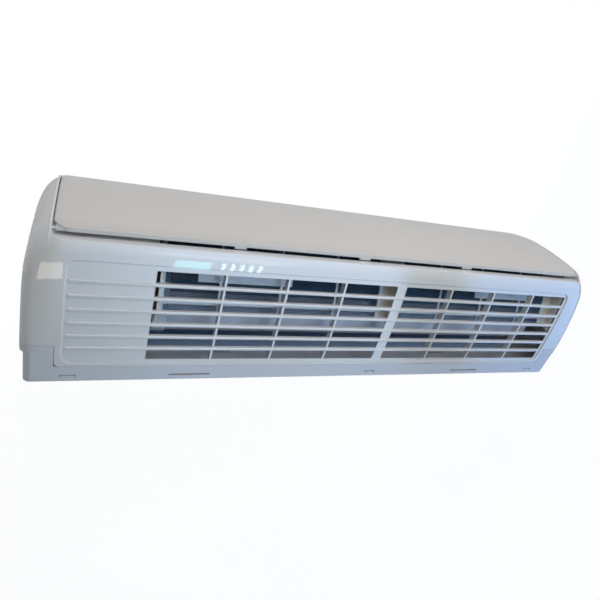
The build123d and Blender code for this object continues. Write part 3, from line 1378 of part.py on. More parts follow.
def control_board():
    """Circuit board on the box's four posts."""
    x0, x1 = BOX_X
    return block(x0 + 4, x1 - 4, BOARD_Y - BOARD_T, BOARD_Y, BOX_Z[0] + 4, BOX_Z[1] - 4)


def board_parts():
    """Capacitors, relays, transformer and sockets on the board's front."""
    face = BOARD_Y - BOARD_T
    pieces = []
    for x, z, r, height in ((300, 85, 8, 16), (322, 88, 6, 14), (372, -4, 5, 12), (358, -8, 4, 10)):
        pieces.append(rod_y(x, face - height, face, z, r))
    blocks = (
        (345, 370, 70, 92, 14),
        (296, 312, 50, 66, 12),
        (320, 352, 34, 60, 15),
        (362, 380, 36, 52, 12),
        (300, 340, 8, 18, 7),
        (296, 330, -14, -4, 8),
        (350, 378, 12, 20, 6),
    )
    for x0, x1, z0, z1, height in blocks:
        pieces.append(block(x0, x1, face - height, face, z0, z1))
    return Compound(children=[piece.solid() for piece in pieces])


def terminal_block():
    """Screw terminals for the mains and the link to the outdoor half."""
    x0, x1 = TERMINAL_X
    z0, z1 = TERMINAL_Z
    back = BOX_Y[1] - BOX_WALL
    body = block(x0, x1, back - 11, back, z0, z1)
    count = 4
    pitch = (x1 - x0) / count
    for i in range(count):
        x = x0 + (i + 0.5) * pitch
        body -= block(x - pitch / 2 + 1, x + pitch / 2 - 1, back - 12, back - 7, z0 - 1, z0 + 7)
        body -= rod_y(x, back - 12, back - 5, z0 + 15, 3.4)
        body += rod_y(x, back - 8, back - 4, z0 + 15, 2.8)
    return body


def cord_clamp():
    """Saddle that grips the supply cord below the terminals."""
    x = (TERMINAL_X[0] + TERMINAL_X[1]) / 2
    z = TERMINAL_Z[0] - 3
    back = BOX_Y[1] - BOX_WALL
    saddle = block(x - 16, x + 16, back - 8, back, z - 2.5, z + 2.5)
    saddle -= rod_z(x, back - 3, z - 4, z + 4, 4)
    return saddle


def display_board():
    """Small board behind the right flange, with the switch and receiver."""
    face = DISPLAY_Y
    back = DISPLAY_Y + DISPLAY_T
    board = block(BUTTON_X - 26, BUTTON_X + 26, face, back, BUTTON_Z - 30, BUTTON_Z + 20)
    board += block(
        BUTTON_X - 3.5, BUTTON_X + 3.5, face - SWITCH_H, face + 0.1, BUTTON_Z - 3.5, BUTTON_Z + 3.5
    )
    board += block(BUTTON_X - 20, BUTTON_X - 12, face - 2.5, face + 0.1, BUTTON_Z - 24, BUTTON_Z - 12)
    for side in (-1, 1):
        post_end = BOX_Y[0] - COVER_LID - TOUCH_GAP
        board += rod_y(BUTTON_X + side * 22, back - 0.1, post_end, BUTTON_Z, 2)
    return board


def emergency_button():
    """Push button in the right flange, reached with the panel open."""
    flange_front = inset_front_y(FLANGE_INSET, BUTTON_Z)
    flange_back = inset_front_y(FLANGE_INSET + FLANGE_WALL, BUTTON_Z)
    back = DISPLAY_Y - SWITCH_H - BUTTON_TRAVEL - TOUCH_GAP
    collar = flange_back + BUTTON_COLLAR_GAP
    button = rod_y(BUTTON_X, flange_front - BUTTON_HEAD, back, BUTTON_Z, BUTTON_R)
    return button + rod_y(BUTTON_X, collar, collar + BUTTON_COLLAR_T, BUTTON_Z, BUTTON_R + 1.6)


def room_sensor():
    """Air temperature sensor in its clip, on the front of the lower slab."""
    reach = SLAB_T / 2 + SENSOR_STAND
    plane = slab_plane(SLAB_LOWER, SENSOR_X)
    bulb = extrude(plane.offset(SENSOR_DOWN) * Pos(0, reach) * Circle(SENSOR_R), amount=SENSOR_LENGTH)
    foot = Pos(0, (SLAB_T / 2 + reach) / 2) * Rectangle(2 * SENSOR_R, SENSOR_STAND)
    return bulb + extrude(plane.offset(SENSOR_DOWN + 6) * foot, amount=SENSOR_LENGTH - 12)


# Pipes


def pipe(x_turn, start, run_z, end_x, r):
    """Pipe from the coil's right end, down behind the motor and along the channel."""
    y, z = start
    points = [
        (COIL_RIGHT_X + PLATE_T, y, z),
        (x_turn, y, z),
        (x_turn, CHANNEL_Y, run_z),
        (end_x, CHANNEL_Y, run_z),
    ]
    path = FilletPolyline(*points, radius=[PIPE_TURN_R * 0.5, PIPE_TURN_R])
    return sweep(Plane(origin=points[0], z_dir=(1, 0, 0)) * Circle(r), path=path)


def gas_pipe():
    """Wide pipe, from the rear slab's lowest outer tube."""
    return pipe(GAS_X, tube_rows(SLAB_REAR)[1][-1], GAS_Z, PIPE_END_X, GAS_R)


def liquid_pipe():
    """Narrow pipe, from the rear slab's next tube."""
    return pipe(LIQUID_X, tube_rows(SLAB_REAR)[1][-2], LIQUID_Z, PIPE_END_X - PIPE_STAGGER, LIQUID_R)


def union(run_z, x, flats, thread_r):
    """Brass half union at a pipe's end."""
    tip = x - UNION_LENGTH - THREAD_LENGTH
    nut = prism(Pos(CHANNEL_Y, run_z) * RegularPolygon(flats / 2, 6, major_radius=False), x - UNION_LENGTH, x)
    thread = rod_x(tip, x - UNION_LENGTH, CHANNEL_Y, run_z, thread_r)
    return nut + thread - rod_x(tip - 1, x - 2, CHANNEL_Y, run_z, thread_r * 0.45)


def gas_union():
    """Union on the wide pipe."""
    return union(GAS_Z, PIPE_END_X, UNION_FLATS_GAS, THREAD_GAS_R)


def liquid_union():
    """Union on the narrow pipe."""
    return union(LIQUID_Z, PIPE_END_X - PIPE_STAGGER, UNION_FLATS_LIQUID, THREAD_LIQUID_R)


def pipe_sleeve():
    """Foam sleeve round the wide pipe in the channel."""
    x0 = PIPE_END_X + 24
    x1 = GAS_X - PIPE_TURN_R - 8
    sleeve = rod_x(x0, x1, CHANNEL_Y, GAS_Z, SLEEVE_R)
    return sleeve - rod_x(x0 - 1, x1 + 1, CHANNEL_Y, GAS_Z, GAS_R)


def pipe_clamp():
    """Strap that holds the sleeve and the narrow pipe up in the channel."""
    x0, x1 = (60.0, 76.0)
    reach = SLEEVE_R + 1.6
    ring = Circle(reach) - Circle(SLEEVE_R)
    clamp = prism(Pos(CHANNEL_Y, GAS_Z) * ring, x0, x1)
    clamp += block(x0, x1, CHANNEL_Y - 4, CHANNEL_Y + 4, GAS_Z + SLEEVE_R + 0.8, CHANNEL_TOP_Z - WALL)
    hanger = block(x0, x1, CHANNEL_Y - 5, CHANNEL_Y + 5, LIQUID_Z - 5, GAS_Z - SLEEVE_R - 0.8)
    return clamp + (hanger - rod_x(x0 - 1, x1 + 1, CHANNEL_Y, LIQUID_Z, LIQUID_R))


# Wall plate


def mounting_plate():
    """Pressed steel plate that screws to the wall and carries the unit on two hooks."""
    z0, z1 = WALL_PLATE_Z
    half = WALL_PLATE_X
    plate = block(-half, half, -WALL_PLATE_T, 0, z0, z1)
    mid_z = (z0 + z1) / 2
    for z in (z1 - WALL_RIB, z0):
        plate += block(-half, half, -7, -WALL_PLATE_T / 2, z, z + WALL_PLATE_T)
    for x in (-half, half - WALL_PLATE_T):
        plate += block(x, x + WALL_PLATE_T, -7, -WALL_PLATE_T / 2, z0, z1 - WALL_RIB)
    for x0, x1 in ((-half + 40, -40), (40, half - 40)):
        plate -= block(x0, x1, -2, 1, mid_z - 52, mid_z - 12)
    for x in (-SCREW_SPACING_X / 2, SCREW_SPACING_X / 2):
        for z in (mid_z - SCREW_SPACING_Z / 2, mid_z + SCREW_SPACING_Z / 2):
            plate -= rod_y(x, -3, 1, z, WALL_SCREW_R)
    for x in HOOK_X:
        reach = HOOK_WIDTH / 2
        plate += block(x - reach, x + reach, -17, -WALL_PLATE_T / 2, HOOK_Z - HOOK_T / 2, HOOK_Z + HOOK_T / 2)
        plate += block(x - reach, x + reach, -17, -17 + HOOK_T, HOOK_Z - HOOK_T / 2, HOOK_Z + HOOK_LIFT)
    return plate


# Everything, one file for each piece


def build():
    """Every piece under the name that it is kept by."""
    pieces = {
        "mounting_plate": mounting_plate(),
        "rear_chassis": rear_chassis(),
        "front_casing": front_casing(),
        "casing_screws": casing_screws(),
        "screw_caps": screw_caps(),
        "front_panel": front_panel(),
        "panel_hinge_pins": panel_hinge_pins(),
        "receiver_window": receiver_window(),
        "display_board": display_board(),
        "emergency_button": emergency_button(),
        "centre_rail": centre_rail(),
        "end_rail_left": end_rail_left(),
        "end_rail_right": end_rail_right(),
        "coil_slab_upper": slab(SLAB_UPPER),
        "coil_slab_lower": slab(SLAB_LOWER),
        "coil_slab_rear": slab(SLAB_REAR),
        "tube_plates": tube_plates(),
        "return_bends": return_bends(),
        "apex_strip": apex_strip(),
        "coil_end_cover": coil_end_cover(),
        "gas_pipe": gas_pipe(),
        "liquid_pipe": liquid_pipe(),
        "gas_union": gas_union(),
        "liquid_union": liquid_union(),
        "pipe_sleeve": pipe_sleeve(),
        "pipe_clamp": pipe_clamp(),
        "crossflow_fan": crossflow_fan(),
        "fan_shaft": fan_shaft(),
        "fan_bearing": fan_bearing(),
        "bearing_seat": bearing_seat(),
        "fan_motor": fan_motor(),
        "motor_shaft": motor_shaft(),
        "motor_clamp": motor_clamp(),
        "drain_pan": drain_pan(),
        "drain_plug": drain_plug(),
        "drain_spout": drain_spout(),
        "louver": louver(),
        "louver_motor": louver_motor(),
        "electrical_box": electrical_box(),
        "box_cover": box_cover(),
        "control_board": control_board(),
        "board_parts": board_parts(),
        "terminal_block": terminal_block(),
        "cord_clamp": cord_clamp(),
        "room_sensor": room_sensor(),
    }
    for side, name in ((1, "right"), (-1, "left")):
        pieces[f"filter_frame_{name}"] = filter_frame(side)
        pieces[f"filter_net_{name}"] = filter_net(side)
    for group, name in enumerate(("left", "right")):
        for i, x in enumerate(vane_places(group)):
            pieces[f"vane_{name}_{i + 1}"] = vane_plate(x)
        pieces[f"vane_link_{name}"] = vane_link(group)
    return pieces


for node, shape in build().items():
    export_step(shape, f"parts/{node}.step")
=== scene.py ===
"""Looks of a wall-mounted indoor air-conditioning unit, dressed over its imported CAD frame.

Metres, in the frame of the CAD part: +X right as seen from the front, +Y into the wall, +Z up.
"""

import json
import logging
import math
from collections.abc import Iterable, Sequence
from dataclasses import dataclass
from enum import Enum
from typing import Any

import bmesh
import bpy
from mathutils import Matrix, Vector

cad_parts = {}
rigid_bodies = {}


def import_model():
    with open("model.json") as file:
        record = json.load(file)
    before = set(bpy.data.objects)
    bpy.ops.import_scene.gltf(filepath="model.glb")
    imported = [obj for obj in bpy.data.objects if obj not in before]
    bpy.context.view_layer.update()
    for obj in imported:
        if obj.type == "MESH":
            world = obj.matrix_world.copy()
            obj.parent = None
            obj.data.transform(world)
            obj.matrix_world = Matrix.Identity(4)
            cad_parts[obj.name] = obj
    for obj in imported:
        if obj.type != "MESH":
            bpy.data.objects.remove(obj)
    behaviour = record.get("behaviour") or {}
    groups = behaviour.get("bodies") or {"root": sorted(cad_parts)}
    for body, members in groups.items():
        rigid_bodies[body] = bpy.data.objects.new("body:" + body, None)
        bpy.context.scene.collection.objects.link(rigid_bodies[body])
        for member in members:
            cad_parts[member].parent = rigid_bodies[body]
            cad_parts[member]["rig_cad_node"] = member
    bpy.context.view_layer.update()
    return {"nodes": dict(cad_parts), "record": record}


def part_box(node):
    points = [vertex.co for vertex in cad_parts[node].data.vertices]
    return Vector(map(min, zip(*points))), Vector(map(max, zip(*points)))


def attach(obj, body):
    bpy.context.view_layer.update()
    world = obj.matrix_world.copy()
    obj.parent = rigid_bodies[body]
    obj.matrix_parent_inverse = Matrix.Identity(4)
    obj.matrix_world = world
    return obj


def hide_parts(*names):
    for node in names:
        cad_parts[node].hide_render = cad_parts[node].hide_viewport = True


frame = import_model()
LOG = logging.getLogger("unit")

Colour = tuple[float, float, float]
Point = tuple[float, float, float]

QUARTER_TURN = (math.pi / 2, 0.0, 0.0)
TRACK_GREEN = (0.05, 0.30, 0.16)
TRACK_SCALE = 120.0
TRACK_WIDTH = 0.06
SOLDER_GREY = (0.55, 0.56, 0.55)
SOLDER_SCALE = 260.0
SOLDER_EDGE = (0.16, 0.2)
PLASTIC_SECOND = (0.97, 0.97, 0.965)
# Edge colours are lighter than the face: partly wear, partly painted highlight.
PLASTIC_EDGE_GAIN = 1.06
PLASTIC_EDGE_LIFT = 0.01
METAL_STAIN = 0.72
METAL_EDGE = 1.25
SHARP_ANGLE = 0.5


class Surface(Enum):
    """How a finish's surface is patterned."""

    MOULDED = "moulded"
    BRUSHED = "brushed"
    PORED = "pored"
    PRINTED = "printed"


class NodeSheet:
    """Adds nodes to a tree in one call each."""

    def __init__(self, tree: bpy.types.NodeTree) -> None:
        """Keeps the tree.

        Args:
            tree: The node tree that new nodes go into.
        """
        self.tree = tree

    def add(self, kind: str, values: dict[Any, Any] | None = None, **options: Any) -> bpy.types.Node:
        """Adds a node, sets its options and fills or links its inputs.

        Args:
            kind: The node's type name.
            values: Input names or numbers with a value or an output socket each.
            **options: Properties set on the node before its inputs.

        Returns:
            The new node.
        """
        node = self.tree.nodes.new(kind)
        for name, value in options.items():
            setattr(node, name, value)
        for key, value in (values or {}).items():
            socket = node.inputs[key]
            if isinstance(value, bpy.types.NodeSocket):
                self.tree.links.new(value, socket)
            else:
                socket.default_value = value
        return node

    def math(self, operation: str, *values: Any) -> bpy.types.NodeSocket:
        """Adds a Math node and returns its output."""
        filled = dict(enumerate(values))
        return self.add("ShaderNodeMath", filled, operation=operation).outputs[0]

    def remap(
        self, value: Any, low: float, high: float, to_low: float, to_high: float
    ) -> bpy.types.NodeSocket:
        """Adds a clamped Map Range node and returns its output."""
        filled = {0: value, 1: low, 2: high, 3: to_low, 4: to_high}
        return self.add("ShaderNodeMapRange", filled).outputs[0]

    def share(self, value: bpy.types.NodeSocket, low: float, high: float) -> bpy.types.NodeSocket:
        """Rises evenly from 0 at low to 1 at high."""
        return self.remap(value, low, high, 0.0, 1.0)

    def noise(
        self, place: bpy.types.NodeSocket, scale: Any, detail: float, roughness: float = 0.5
    ) -> bpy.types.NodeSocket:
        """Adds a noise texture and returns its value."""
        filled = {"Vector": place, "Scale": scale, "Detail": detail, "Roughness": roughness}
        return self.add("ShaderNodeTexNoise", filled).outputs[0]

    def smooth(self, value: bpy.types.NodeSocket, start: float, end: float) -> bpy.types.NodeSocket:
        """Rises smoothly from 0 at start to 1 at end."""
        filled = {0: value, 1: start, 2: end, 3: 0.0, 4: 1.0}
        return self.add("ShaderNodeMapRange", filled, interpolation_type="SMOOTHSTEP").outputs[0]

    def mix(self, factor: Any, a: Any, b: Any) -> bpy.types.NodeSocket:
        """Adds a colour mix.

        Args:
            factor: Share of the second colour, as a number or a socket.
            a: First colour, as a value or a socket.
            b: Second colour, as a value or a socket.

        Returns:
            The mixed colour's socket.
        """
        node = self.add("ShaderNodeMix", data_type="RGBA")
        for index, value in ((0, factor), (6, a), (7, b)):
            if isinstance(value, bpy.types.NodeSocket):
                self.tree.links.new(value, node.inputs[index])
            else:
                node.inputs[index].default_value = value
        return node.outputs[2]


def solid(colour: Colour) -> tuple[float, float, float, float]:
    """A colour with full opacity."""
    return (*colour, 1.0)


class SharedGroups:
    """Shader groups that several finishes use, each made once."""

    FACING_UP = (0.1, 0.95)
    DUST_PATCHES = (0.35, 0.75)
    CELL_REACH = (0.0, 0.7)
    PORE_TONE_SCALE = 40.0

    def __init__(self) -> None:
        """Makes the groups."""
        self.edges = self._edges()
        self.grain = self._grain()
        self.dust = self._dust()
        self.brush = self._brush()
        self.pores = self._pores()

    @staticmethod
    def _group(
        name: str, inputs: Sequence[tuple[str, str, Any]], outputs: Sequence[tuple[str, str]]
    ) -> NodeSheet:
        """Starts a shader group with its sockets.

        Args:
            name: The group's name.
            inputs: Name, socket type and default value of each input.
            outputs: Name and socket type of each output.

        Returns:
            A sheet on the group's tree.
        """
        tree = bpy.data.node_groups.new(name, "ShaderNodeTree")
        for label, kind, value in inputs:
            socket = tree.interface.new_socket(label, in_out="INPUT", socket_type=kind)
            if value is not None:
                socket.default_value = value
        for label, kind in outputs:
            tree.interface.new_socket(label, in_out="OUTPUT", socket_type=kind)
        return NodeSheet(tree)

    def _edges(self) -> bpy.types.NodeTree:
        """Mask along edges, for a lighter edge colour that is partly wear and partly painted highlight, and a
        normal that rounds them.

        Returns:
            The group's tree.
        """
        sheet = self._group(
            "worn_edges",
            [("Radius", "NodeSocketFloat", 0.0006), ("Gain", "NodeSocketFloat", 3.0)],
            [("Mask", "NodeSocketFloat"), ("Normal", "NodeSocketVector")],
        )
        given = sheet.add("NodeGroupInput")
        bevel = sheet.add("ShaderNodeBevel", {"Radius": given.outputs["Radius"]}, samples=4)
        place = sheet.add("ShaderNodeNewGeometry")
        dot = sheet.add(
            "ShaderNodeVectorMath", {0: bevel.outputs[0], 1: place.outputs["Normal"]}, operation="DOT_PRODUCT"
        )
        bent = sheet.math("SUBTRACT", 1.0, dot.outputs["Value"])
        mask = sheet.math("MULTIPLY", bent, given.outputs["Gain"])
        clamped = sheet.share(mask, 0.0, 1.0)
        sheet.add("NodeGroupOutput", {"Mask": clamped, "Normal": bevel.outputs[0]})
        return sheet.tree

    def _grain(self) -> bpy.types.NodeTree:
        """Fine texture of a mould, and its slow change of tone.

        Returns:
            The group's tree.
        """
        sheet = self._group(
            "mould_grain",
            [
                ("Vector", "NodeSocketVector", None),
                ("Fine", "NodeSocketFloat", 1800.0),
                ("Broad", "NodeSocketFloat", 7.0),
            ],
            [("Height", "NodeSocketFloat"), ("Tone", "NodeSocketFloat")],
        )
        given = sheet.add("NodeGroupInput")
        place = given.outputs["Vector"]
        fine = sheet.noise(place, given.outputs["Fine"], detail=2.0, roughness=0.6)
        broad = sheet.noise(place, given.outputs["Broad"], detail=3.0, roughness=0.55)
        sheet.add("NodeGroupOutput", {"Height": fine, "Tone": broad})
        return sheet.tree

    def _dust(self) -> bpy.types.NodeTree:
        """Mask of what settles on faces that look up.

        Returns:
            The group's tree.
        """
        sheet = self._group(
            "settled_dust",
            [
                ("Vector", "NodeSocketVector", None),
                ("Scale", "NodeSocketFloat", 60.0),
                ("Amount", "NodeSocketFloat", 0.2),
            ],
            [("Mask", "NodeSocketFloat")],
        )
        given = sheet.add("NodeGroupInput")
        place = sheet.add("ShaderNodeNewGeometry")
        parts = sheet.add("ShaderNodeSeparateXYZ", {0: place.outputs["Normal"]})
        facing = sheet.share(parts.outputs["Z"], *self.FACING_UP)
        drift = sheet.noise(given.outputs["Vector"], given.outputs["Scale"], detail=5.0, roughness=0.7)
        patches = sheet.share(drift, *self.DUST_PATCHES)
        both = sheet.math("MULTIPLY", facing, patches)
        sheet.add("NodeGroupOutput", {"Mask": sheet.math("MULTIPLY", both, given.outputs["Amount"])})
        return sheet.tree

    def _brush(self) -> bpy.types.NodeTree:
        """Long fine scratches of rolled or drawn metal, and stains.

        Returns:
            The group's tree.
        """
        sheet = self._group(
            "drawn_metal",
            [
                ("Vector", "NodeSocketVector", None),
                ("Across", "NodeSocketFloat", 900.0),
                ("Along", "NodeSocketFloat", 30.0),
                ("Stain", "NodeSocketFloat", 25.0),
            ],
            [("Height", "NodeSocketFloat"), ("Tone", "NodeSocketFloat")],
        )
        given = sheet.add("NodeGroupInput")
        stretch = sheet.add(
            "ShaderNodeCombineXYZ",
            {0: given.outputs["Along"], 1: given.outputs["Across"], 2: given.outputs["Across"]},
        )
        spread = sheet.add(
            "ShaderNodeVectorMath", {0: given.outputs["Vector"], 1: stretch.outputs[0]}, operation="MULTIPLY"
        )
        lines = sheet.noise(spread.outputs[0], 1.0, detail=2.0)
        stain = sheet.noise(given.outputs["Vector"], given.outputs["Stain"], detail=6.0, roughness=0.65)
        sheet.add("NodeGroupOutput", {"Height": lines, "Tone": stain})
        return sheet.tree

    def _pores(self) -> bpy.types.NodeTree:
        """Cells of foam or the dull skin of rubber.

        Returns:
            The group's tree.
        """
        sheet = self._group(
            "open_pores",
            [("Vector", "NodeSocketVector", None), ("Cells", "NodeSocketFloat", 900.0)],
            [("Height", "NodeSocketFloat"), ("Tone", "NodeSocketFloat")],
        )
        given = sheet.add("NodeGroupInput")
        cells = sheet.add(
            "ShaderNodeTexVoronoi", {"Vector": given.outputs["Vector"], "Scale": given.outputs["Cells"]}
        )
        broad = sheet.noise(given.outputs["Vector"], self.PORE_TONE_SCALE, detail=4.0)
        height = sheet.share(cells.outputs["Distance"], *self.CELL_REACH)
        sheet.add("NodeGroupOutput", {"Height": height, "Tone": broad})
        return sheet.tree


@dataclass(frozen=True)
class Finish:
    """One material: its tones, gloss and surface pattern."""

    slot: str
    colour: Colour
    second: Colour
    edge: Colour
    roughness: float = 0.35
    spread: float = 0.06
    metallic: float = 0.0
    coat: float = 0.0
    coat_roughness: float = 0.08
    specular: float = 0.5
    surface: Surface = Surface.MOULDED
    fine: float = 1800.0
    depth: float = 0.00002
    edge_radius: float = 0.0006
    edge_gain: float = 2.5
    dust: float = 0.12
    dust_colour: Colour = (0.42, 0.40, 0.37)
    dust_dulls: float = 0.5
    bump: float = 0.6
    tone_reach: tuple[float, float] = (0.3, 0.7)
    gloss_reach: tuple[float, float] = (0.25, 0.75)

    def build(self, groups: SharedGroups) -> bpy.types.Material:
        """Makes the material.

        Args:
            groups: The shared shader groups.

        Returns:
            The new material.
        """
        material = bpy.data.materials.new(f"finish_{self.slot}")
        material.use_nodes = True
        material.node_tree.nodes.clear()
        sheet = NodeSheet(material.node_tree)
        place = sheet.add("ShaderNodeTexCoord").outputs["Object"]
        height, tone = self._pattern(sheet, groups, place)
        edges = sheet.add(
            "ShaderNodeGroup", {"Radius": self.edge_radius, "Gain": self.edge_gain}, node_tree=groups.edges
        )
        dust = sheet.add("ShaderNodeGroup", {"Vector": place, "Amount": self.dust}, node_tree=groups.dust)
        share = sheet.share(tone, *self.tone_reach)
        varied = sheet.mix(share, solid(self.colour), solid(self.second))
        if self.surface is Surface.PRINTED:
            varied = self._tracks(sheet, place, varied)
        # Lighter colour along edges: partly wear, partly painted highlight.
        edged = sheet.mix(edges.outputs["Mask"], varied, solid(self.edge))
        dusted = sheet.mix(dust.outputs["Mask"], edged, solid(self.dust_colour))
        low, high = self.roughness - self.spread, self.roughness + self.spread
        gloss = sheet.remap(tone, *self.gloss_reach, low, high)
        dulled = sheet.math("ADD", gloss, sheet.math("MULTIPLY", dust.outputs["Mask"], self.dust_dulls))
        bump = sheet.add(
            "ShaderNodeBump",
            {
                "Strength": self.bump, "Distance": self.depth, "Height": height,
                "Normal": edges.outputs["Normal"],
            },
        )
        shader = sheet.add(
            "ShaderNodeBsdfPrincipled",
            {
                "Base Color": dusted,
                "Roughness": dulled,
                "Metallic": self.metallic,
                "Coat Weight": self.coat,
                "Coat Roughness": self.coat_roughness,
                "Specular IOR Level": self.specular,
                "Normal": bump.outputs[0],
            },
        )
        sheet.add("ShaderNodeOutputMaterial", {"Surface": shader.outputs[0]})
        return material

    def _pattern(
        self, sheet: NodeSheet, groups: SharedGroups, place: bpy.types.NodeSocket
    ) -> tuple[bpy.types.NodeSocket, bpy.types.NodeSocket]:
        """Height and tone of the surface.

        Args:
            sheet: The material's sheet.
            groups: The shared shader groups.
            place: Object coordinates.

        Returns:
            The height socket and the tone socket.
        """
        chosen = {
            Surface.MOULDED: groups.grain,
            Surface.PRINTED: groups.grain,
            Surface.BRUSHED: groups.brush,
            Surface.PORED: groups.pores,
        }[self.surface]
        scale_input = {Surface.BRUSHED: "Across", Surface.PORED: "Cells"}.get(self.surface, "Fine")
        node = sheet.add("ShaderNodeGroup", {"Vector": place, scale_input: self.fine}, node_tree=chosen)
        return node.outputs["Height"], node.outputs["Tone"]

    @staticmethod
    def _tracks(
        sheet: NodeSheet, place: bpy.types.NodeSocket, base: bpy.types.NodeSocket
    ) -> bpy.types.NodeSocket:
        """Copper tracks and solder points under a board's varnish.

        Args:
            sheet: The material's sheet.
            place: Object coordinates.
            base: The board's own colour.

        Returns:
            The colour with its tracks.
        """
        turned = sheet.add("ShaderNodeMapping", {"Vector": place, "Rotation": QUARTER_TURN})
        tracks = sheet.add(
            "ShaderNodeTexBrick",
            {
                "Vector": turned.outputs[0], "Scale": TRACK_SCALE, "Mortar Size": TRACK_WIDTH,
                "Color1": solid((0, 0, 0)), "Color2": solid((0, 0, 0)), "Mortar": solid((1, 1, 1)),
            },
        )
        points = sheet.add("ShaderNodeTexVoronoi", {"Vector": place, "Scale": SOLDER_SCALE})
        spots = sheet.remap(points.outputs["Distance"], *SOLDER_EDGE, 1.0, 0.0)
        lined = sheet.mix(tracks.outputs["Color"], base, solid(TRACK_GREEN))
        return sheet.mix(spots, lined, solid(SOLDER_GREY))


def plastic(slot: str, colour: Colour, warmth: float = 0.0, **options: Any) -> Finish:
    """A moulded plastic with a second tone and lighter edges worked out from its colour; the lighter edges
    are partly wear, partly painted highlight.

    Args:
        slot: The record's material slot.
        colour: The main colour.
        warmth: How much yellower the second tone is.
        **options: Other values of the finish.

    Returns:
        The finish.
    """
    red, green, blue = PLASTIC_SECOND
    second = tuple(c * k for c, k in zip(colour, (red, green - warmth / 2, blue - warmth)))
    edge = tuple(min(1.0, c * PLASTIC_EDGE_GAIN + PLASTIC_EDGE_LIFT) for c in colour)
    return Finish(slot, colour, second, edge, **options)


def metal(slot: str, colour: Colour, **options: Any) -> Finish:
    """A bare or plated metal with darker stains and bright edges worked out from its colour; the bright edges
    are partly wear, partly painted highlight.

    Args:
        slot: The record's material slot.
        colour: The main colour.
        **options: Other values of the finish.

    Returns:
        The finish.
    """
    second = tuple(c * METAL_STAIN for c in colour)
    edge = tuple(min(1.0, c * METAL_EDGE) for c in colour)
    settings = {"metallic": 1.0, "surface": Surface.BRUSHED, "fine": 900.0, "roughness": 0.34, "spread": 0.1}
    settings.update(options)
    return Finish(slot, colour, second, edge, **settings)


FINISHES = (
    plastic(
        "casing_white", (0.80, 0.80, 0.81), roughness=0.32, spread=0.03, coat=1.0, coat_roughness=0.025,
        specular=0.1, fine=2600.0, depth=0.000002, dust=0.02,
    ),
    plastic(
        "panel_white", (0.69, 0.67, 0.65), 0.01, roughness=0.30, spread=0.012, fine=2200.0, depth=0.000006,
        dust=0.02,
    ),
    plastic(
        "chassis_white", (0.70, 0.71, 0.76), roughness=0.34, coat=0.2, coat_roughness=0.06, fine=1700.0,
        depth=0.00002, dust=0.05,
    ),
    plastic("louver_white", (0.80, 0.81, 0.82), roughness=0.24, coat=0.15, depth=0.000006, dust=0.03),
    plastic("duct_grey", (0.20, 0.21, 0.22), roughness=0.5, fine=1200.0, dust=0.2),
    plastic("filter_frame", (0.68, 0.78, 0.88), roughness=0.34, dust=0.06),
    plastic(
        "filter_net", (0.050, 0.112, 0.190), roughness=0.6, specular=0.2, dust=0.1, edge_radius=0.0001
    ),
    plastic("rail_cream", (0.74, 0.69, 0.62), roughness=0.42, dust=0.1),
    metal("fins", (0.20, 0.33, 0.47), metallic=0.15, roughness=0.5, edge_radius=0.0001),
    metal("copper", (0.72, 0.36, 0.22), roughness=0.3),
    metal("union_brass", (0.74, 0.56, 0.26), roughness=0.26),
    metal("zinc_steel", (0.50, 0.49, 0.51), metallic=0.25, roughness=0.55, fine=500.0, dust=0.05),
    metal("screw_steel", (0.50, 0.50, 0.50), roughness=0.3, fine=1500.0),
    plastic("fan_grey", (0.10, 0.105, 0.11), roughness=0.5, dust=0.25),
    plastic("motor_grey", (0.30, 0.31, 0.33), roughness=0.45, fine=900.0, depth=0.00006),
    metal("bearing_metal", (0.55, 0.54, 0.52), roughness=0.3),
    plastic(
        "rubber_black", (0.025, 0.025, 0.027), roughness=0.7, surface=Surface.PORED, fine=2500.0, dust=0.2
    ),
    # Bluer and lighter than plain grey foam, so that the dark sheets read as the shaded, sky-lit wall: partly
    # the foam's colour, partly painted shade.
    plastic(
        "foam_grey", (0.36, 0.50, 0.72), roughness=0.92, surface=Surface.PORED, fine=700.0, depth=0.0004,
        dust=0.1,
    ),
    plastic("pan_white", (0.66, 0.68, 0.70), roughness=0.45, dust=0.12),
    plastic("box_black", (0.035, 0.035, 0.04), roughness=0.5, fine=900.0, depth=0.00005),
    plastic("board_green", (0.02, 0.16, 0.09), roughness=0.35, surface=Surface.PRINTED),
    plastic("component_black", (0.03, 0.03, 0.035), roughness=0.4),
    plastic("terminal_cream", (0.72, 0.68, 0.56), roughness=0.45),
    plastic("lens_dark", (0.02, 0.018, 0.022), roughness=0.08, spread=0.02, coat=0.6, dust=0.02),
    plastic("button_white", (0.78, 0.79, 0.80), roughness=0.3),
    metal("sensor_copper", (0.70, 0.38, 0.25), roughness=0.35),
)


class Wardrobe:
    """Every finish by its slot."""

    def __init__(self) -> None:
        """Builds the groups and the materials."""
        groups = SharedGroups()
        self.materials = {finish.slot: finish.build(groups) for finish in FINISHES}

    def dress(self, piece: bpy.types.Object, slot: str) -> None:
        """Gives a piece one finish in every material slot it has.

        Args:
            piece: The object to dress.
            slot: The record's material slot.
        """
        if not piece.data.materials:
            piece.data.materials.append(None)
        for index in range(len(piece.data.materials)):
            piece.data.materials[index] = self.materials[slot]

    def dress_nodes(self) -> None:
        """Gives every CAD node the finish of its slot in the record."""
        for part in frame["record"]["subparts"]:
            self.dress(frame["nodes"][part["node"]], part["material_slot"])


def piece_from(name: str, mesh: bpy.types.Mesh, body: str) -> bpy.types.Object:
    """Puts a finished mesh in the scene and lets it ride on a body.

    Args:
        name: The piece's name.
        mesh: Its mesh, already in place.
        body: The CAD body it moves with.

    Returns:
        The new object.
    """
    piece = bpy.data.objects.new(name, mesh)
    bpy.context.scene.collection.objects.link(piece)
    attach(piece, body)
    return piece


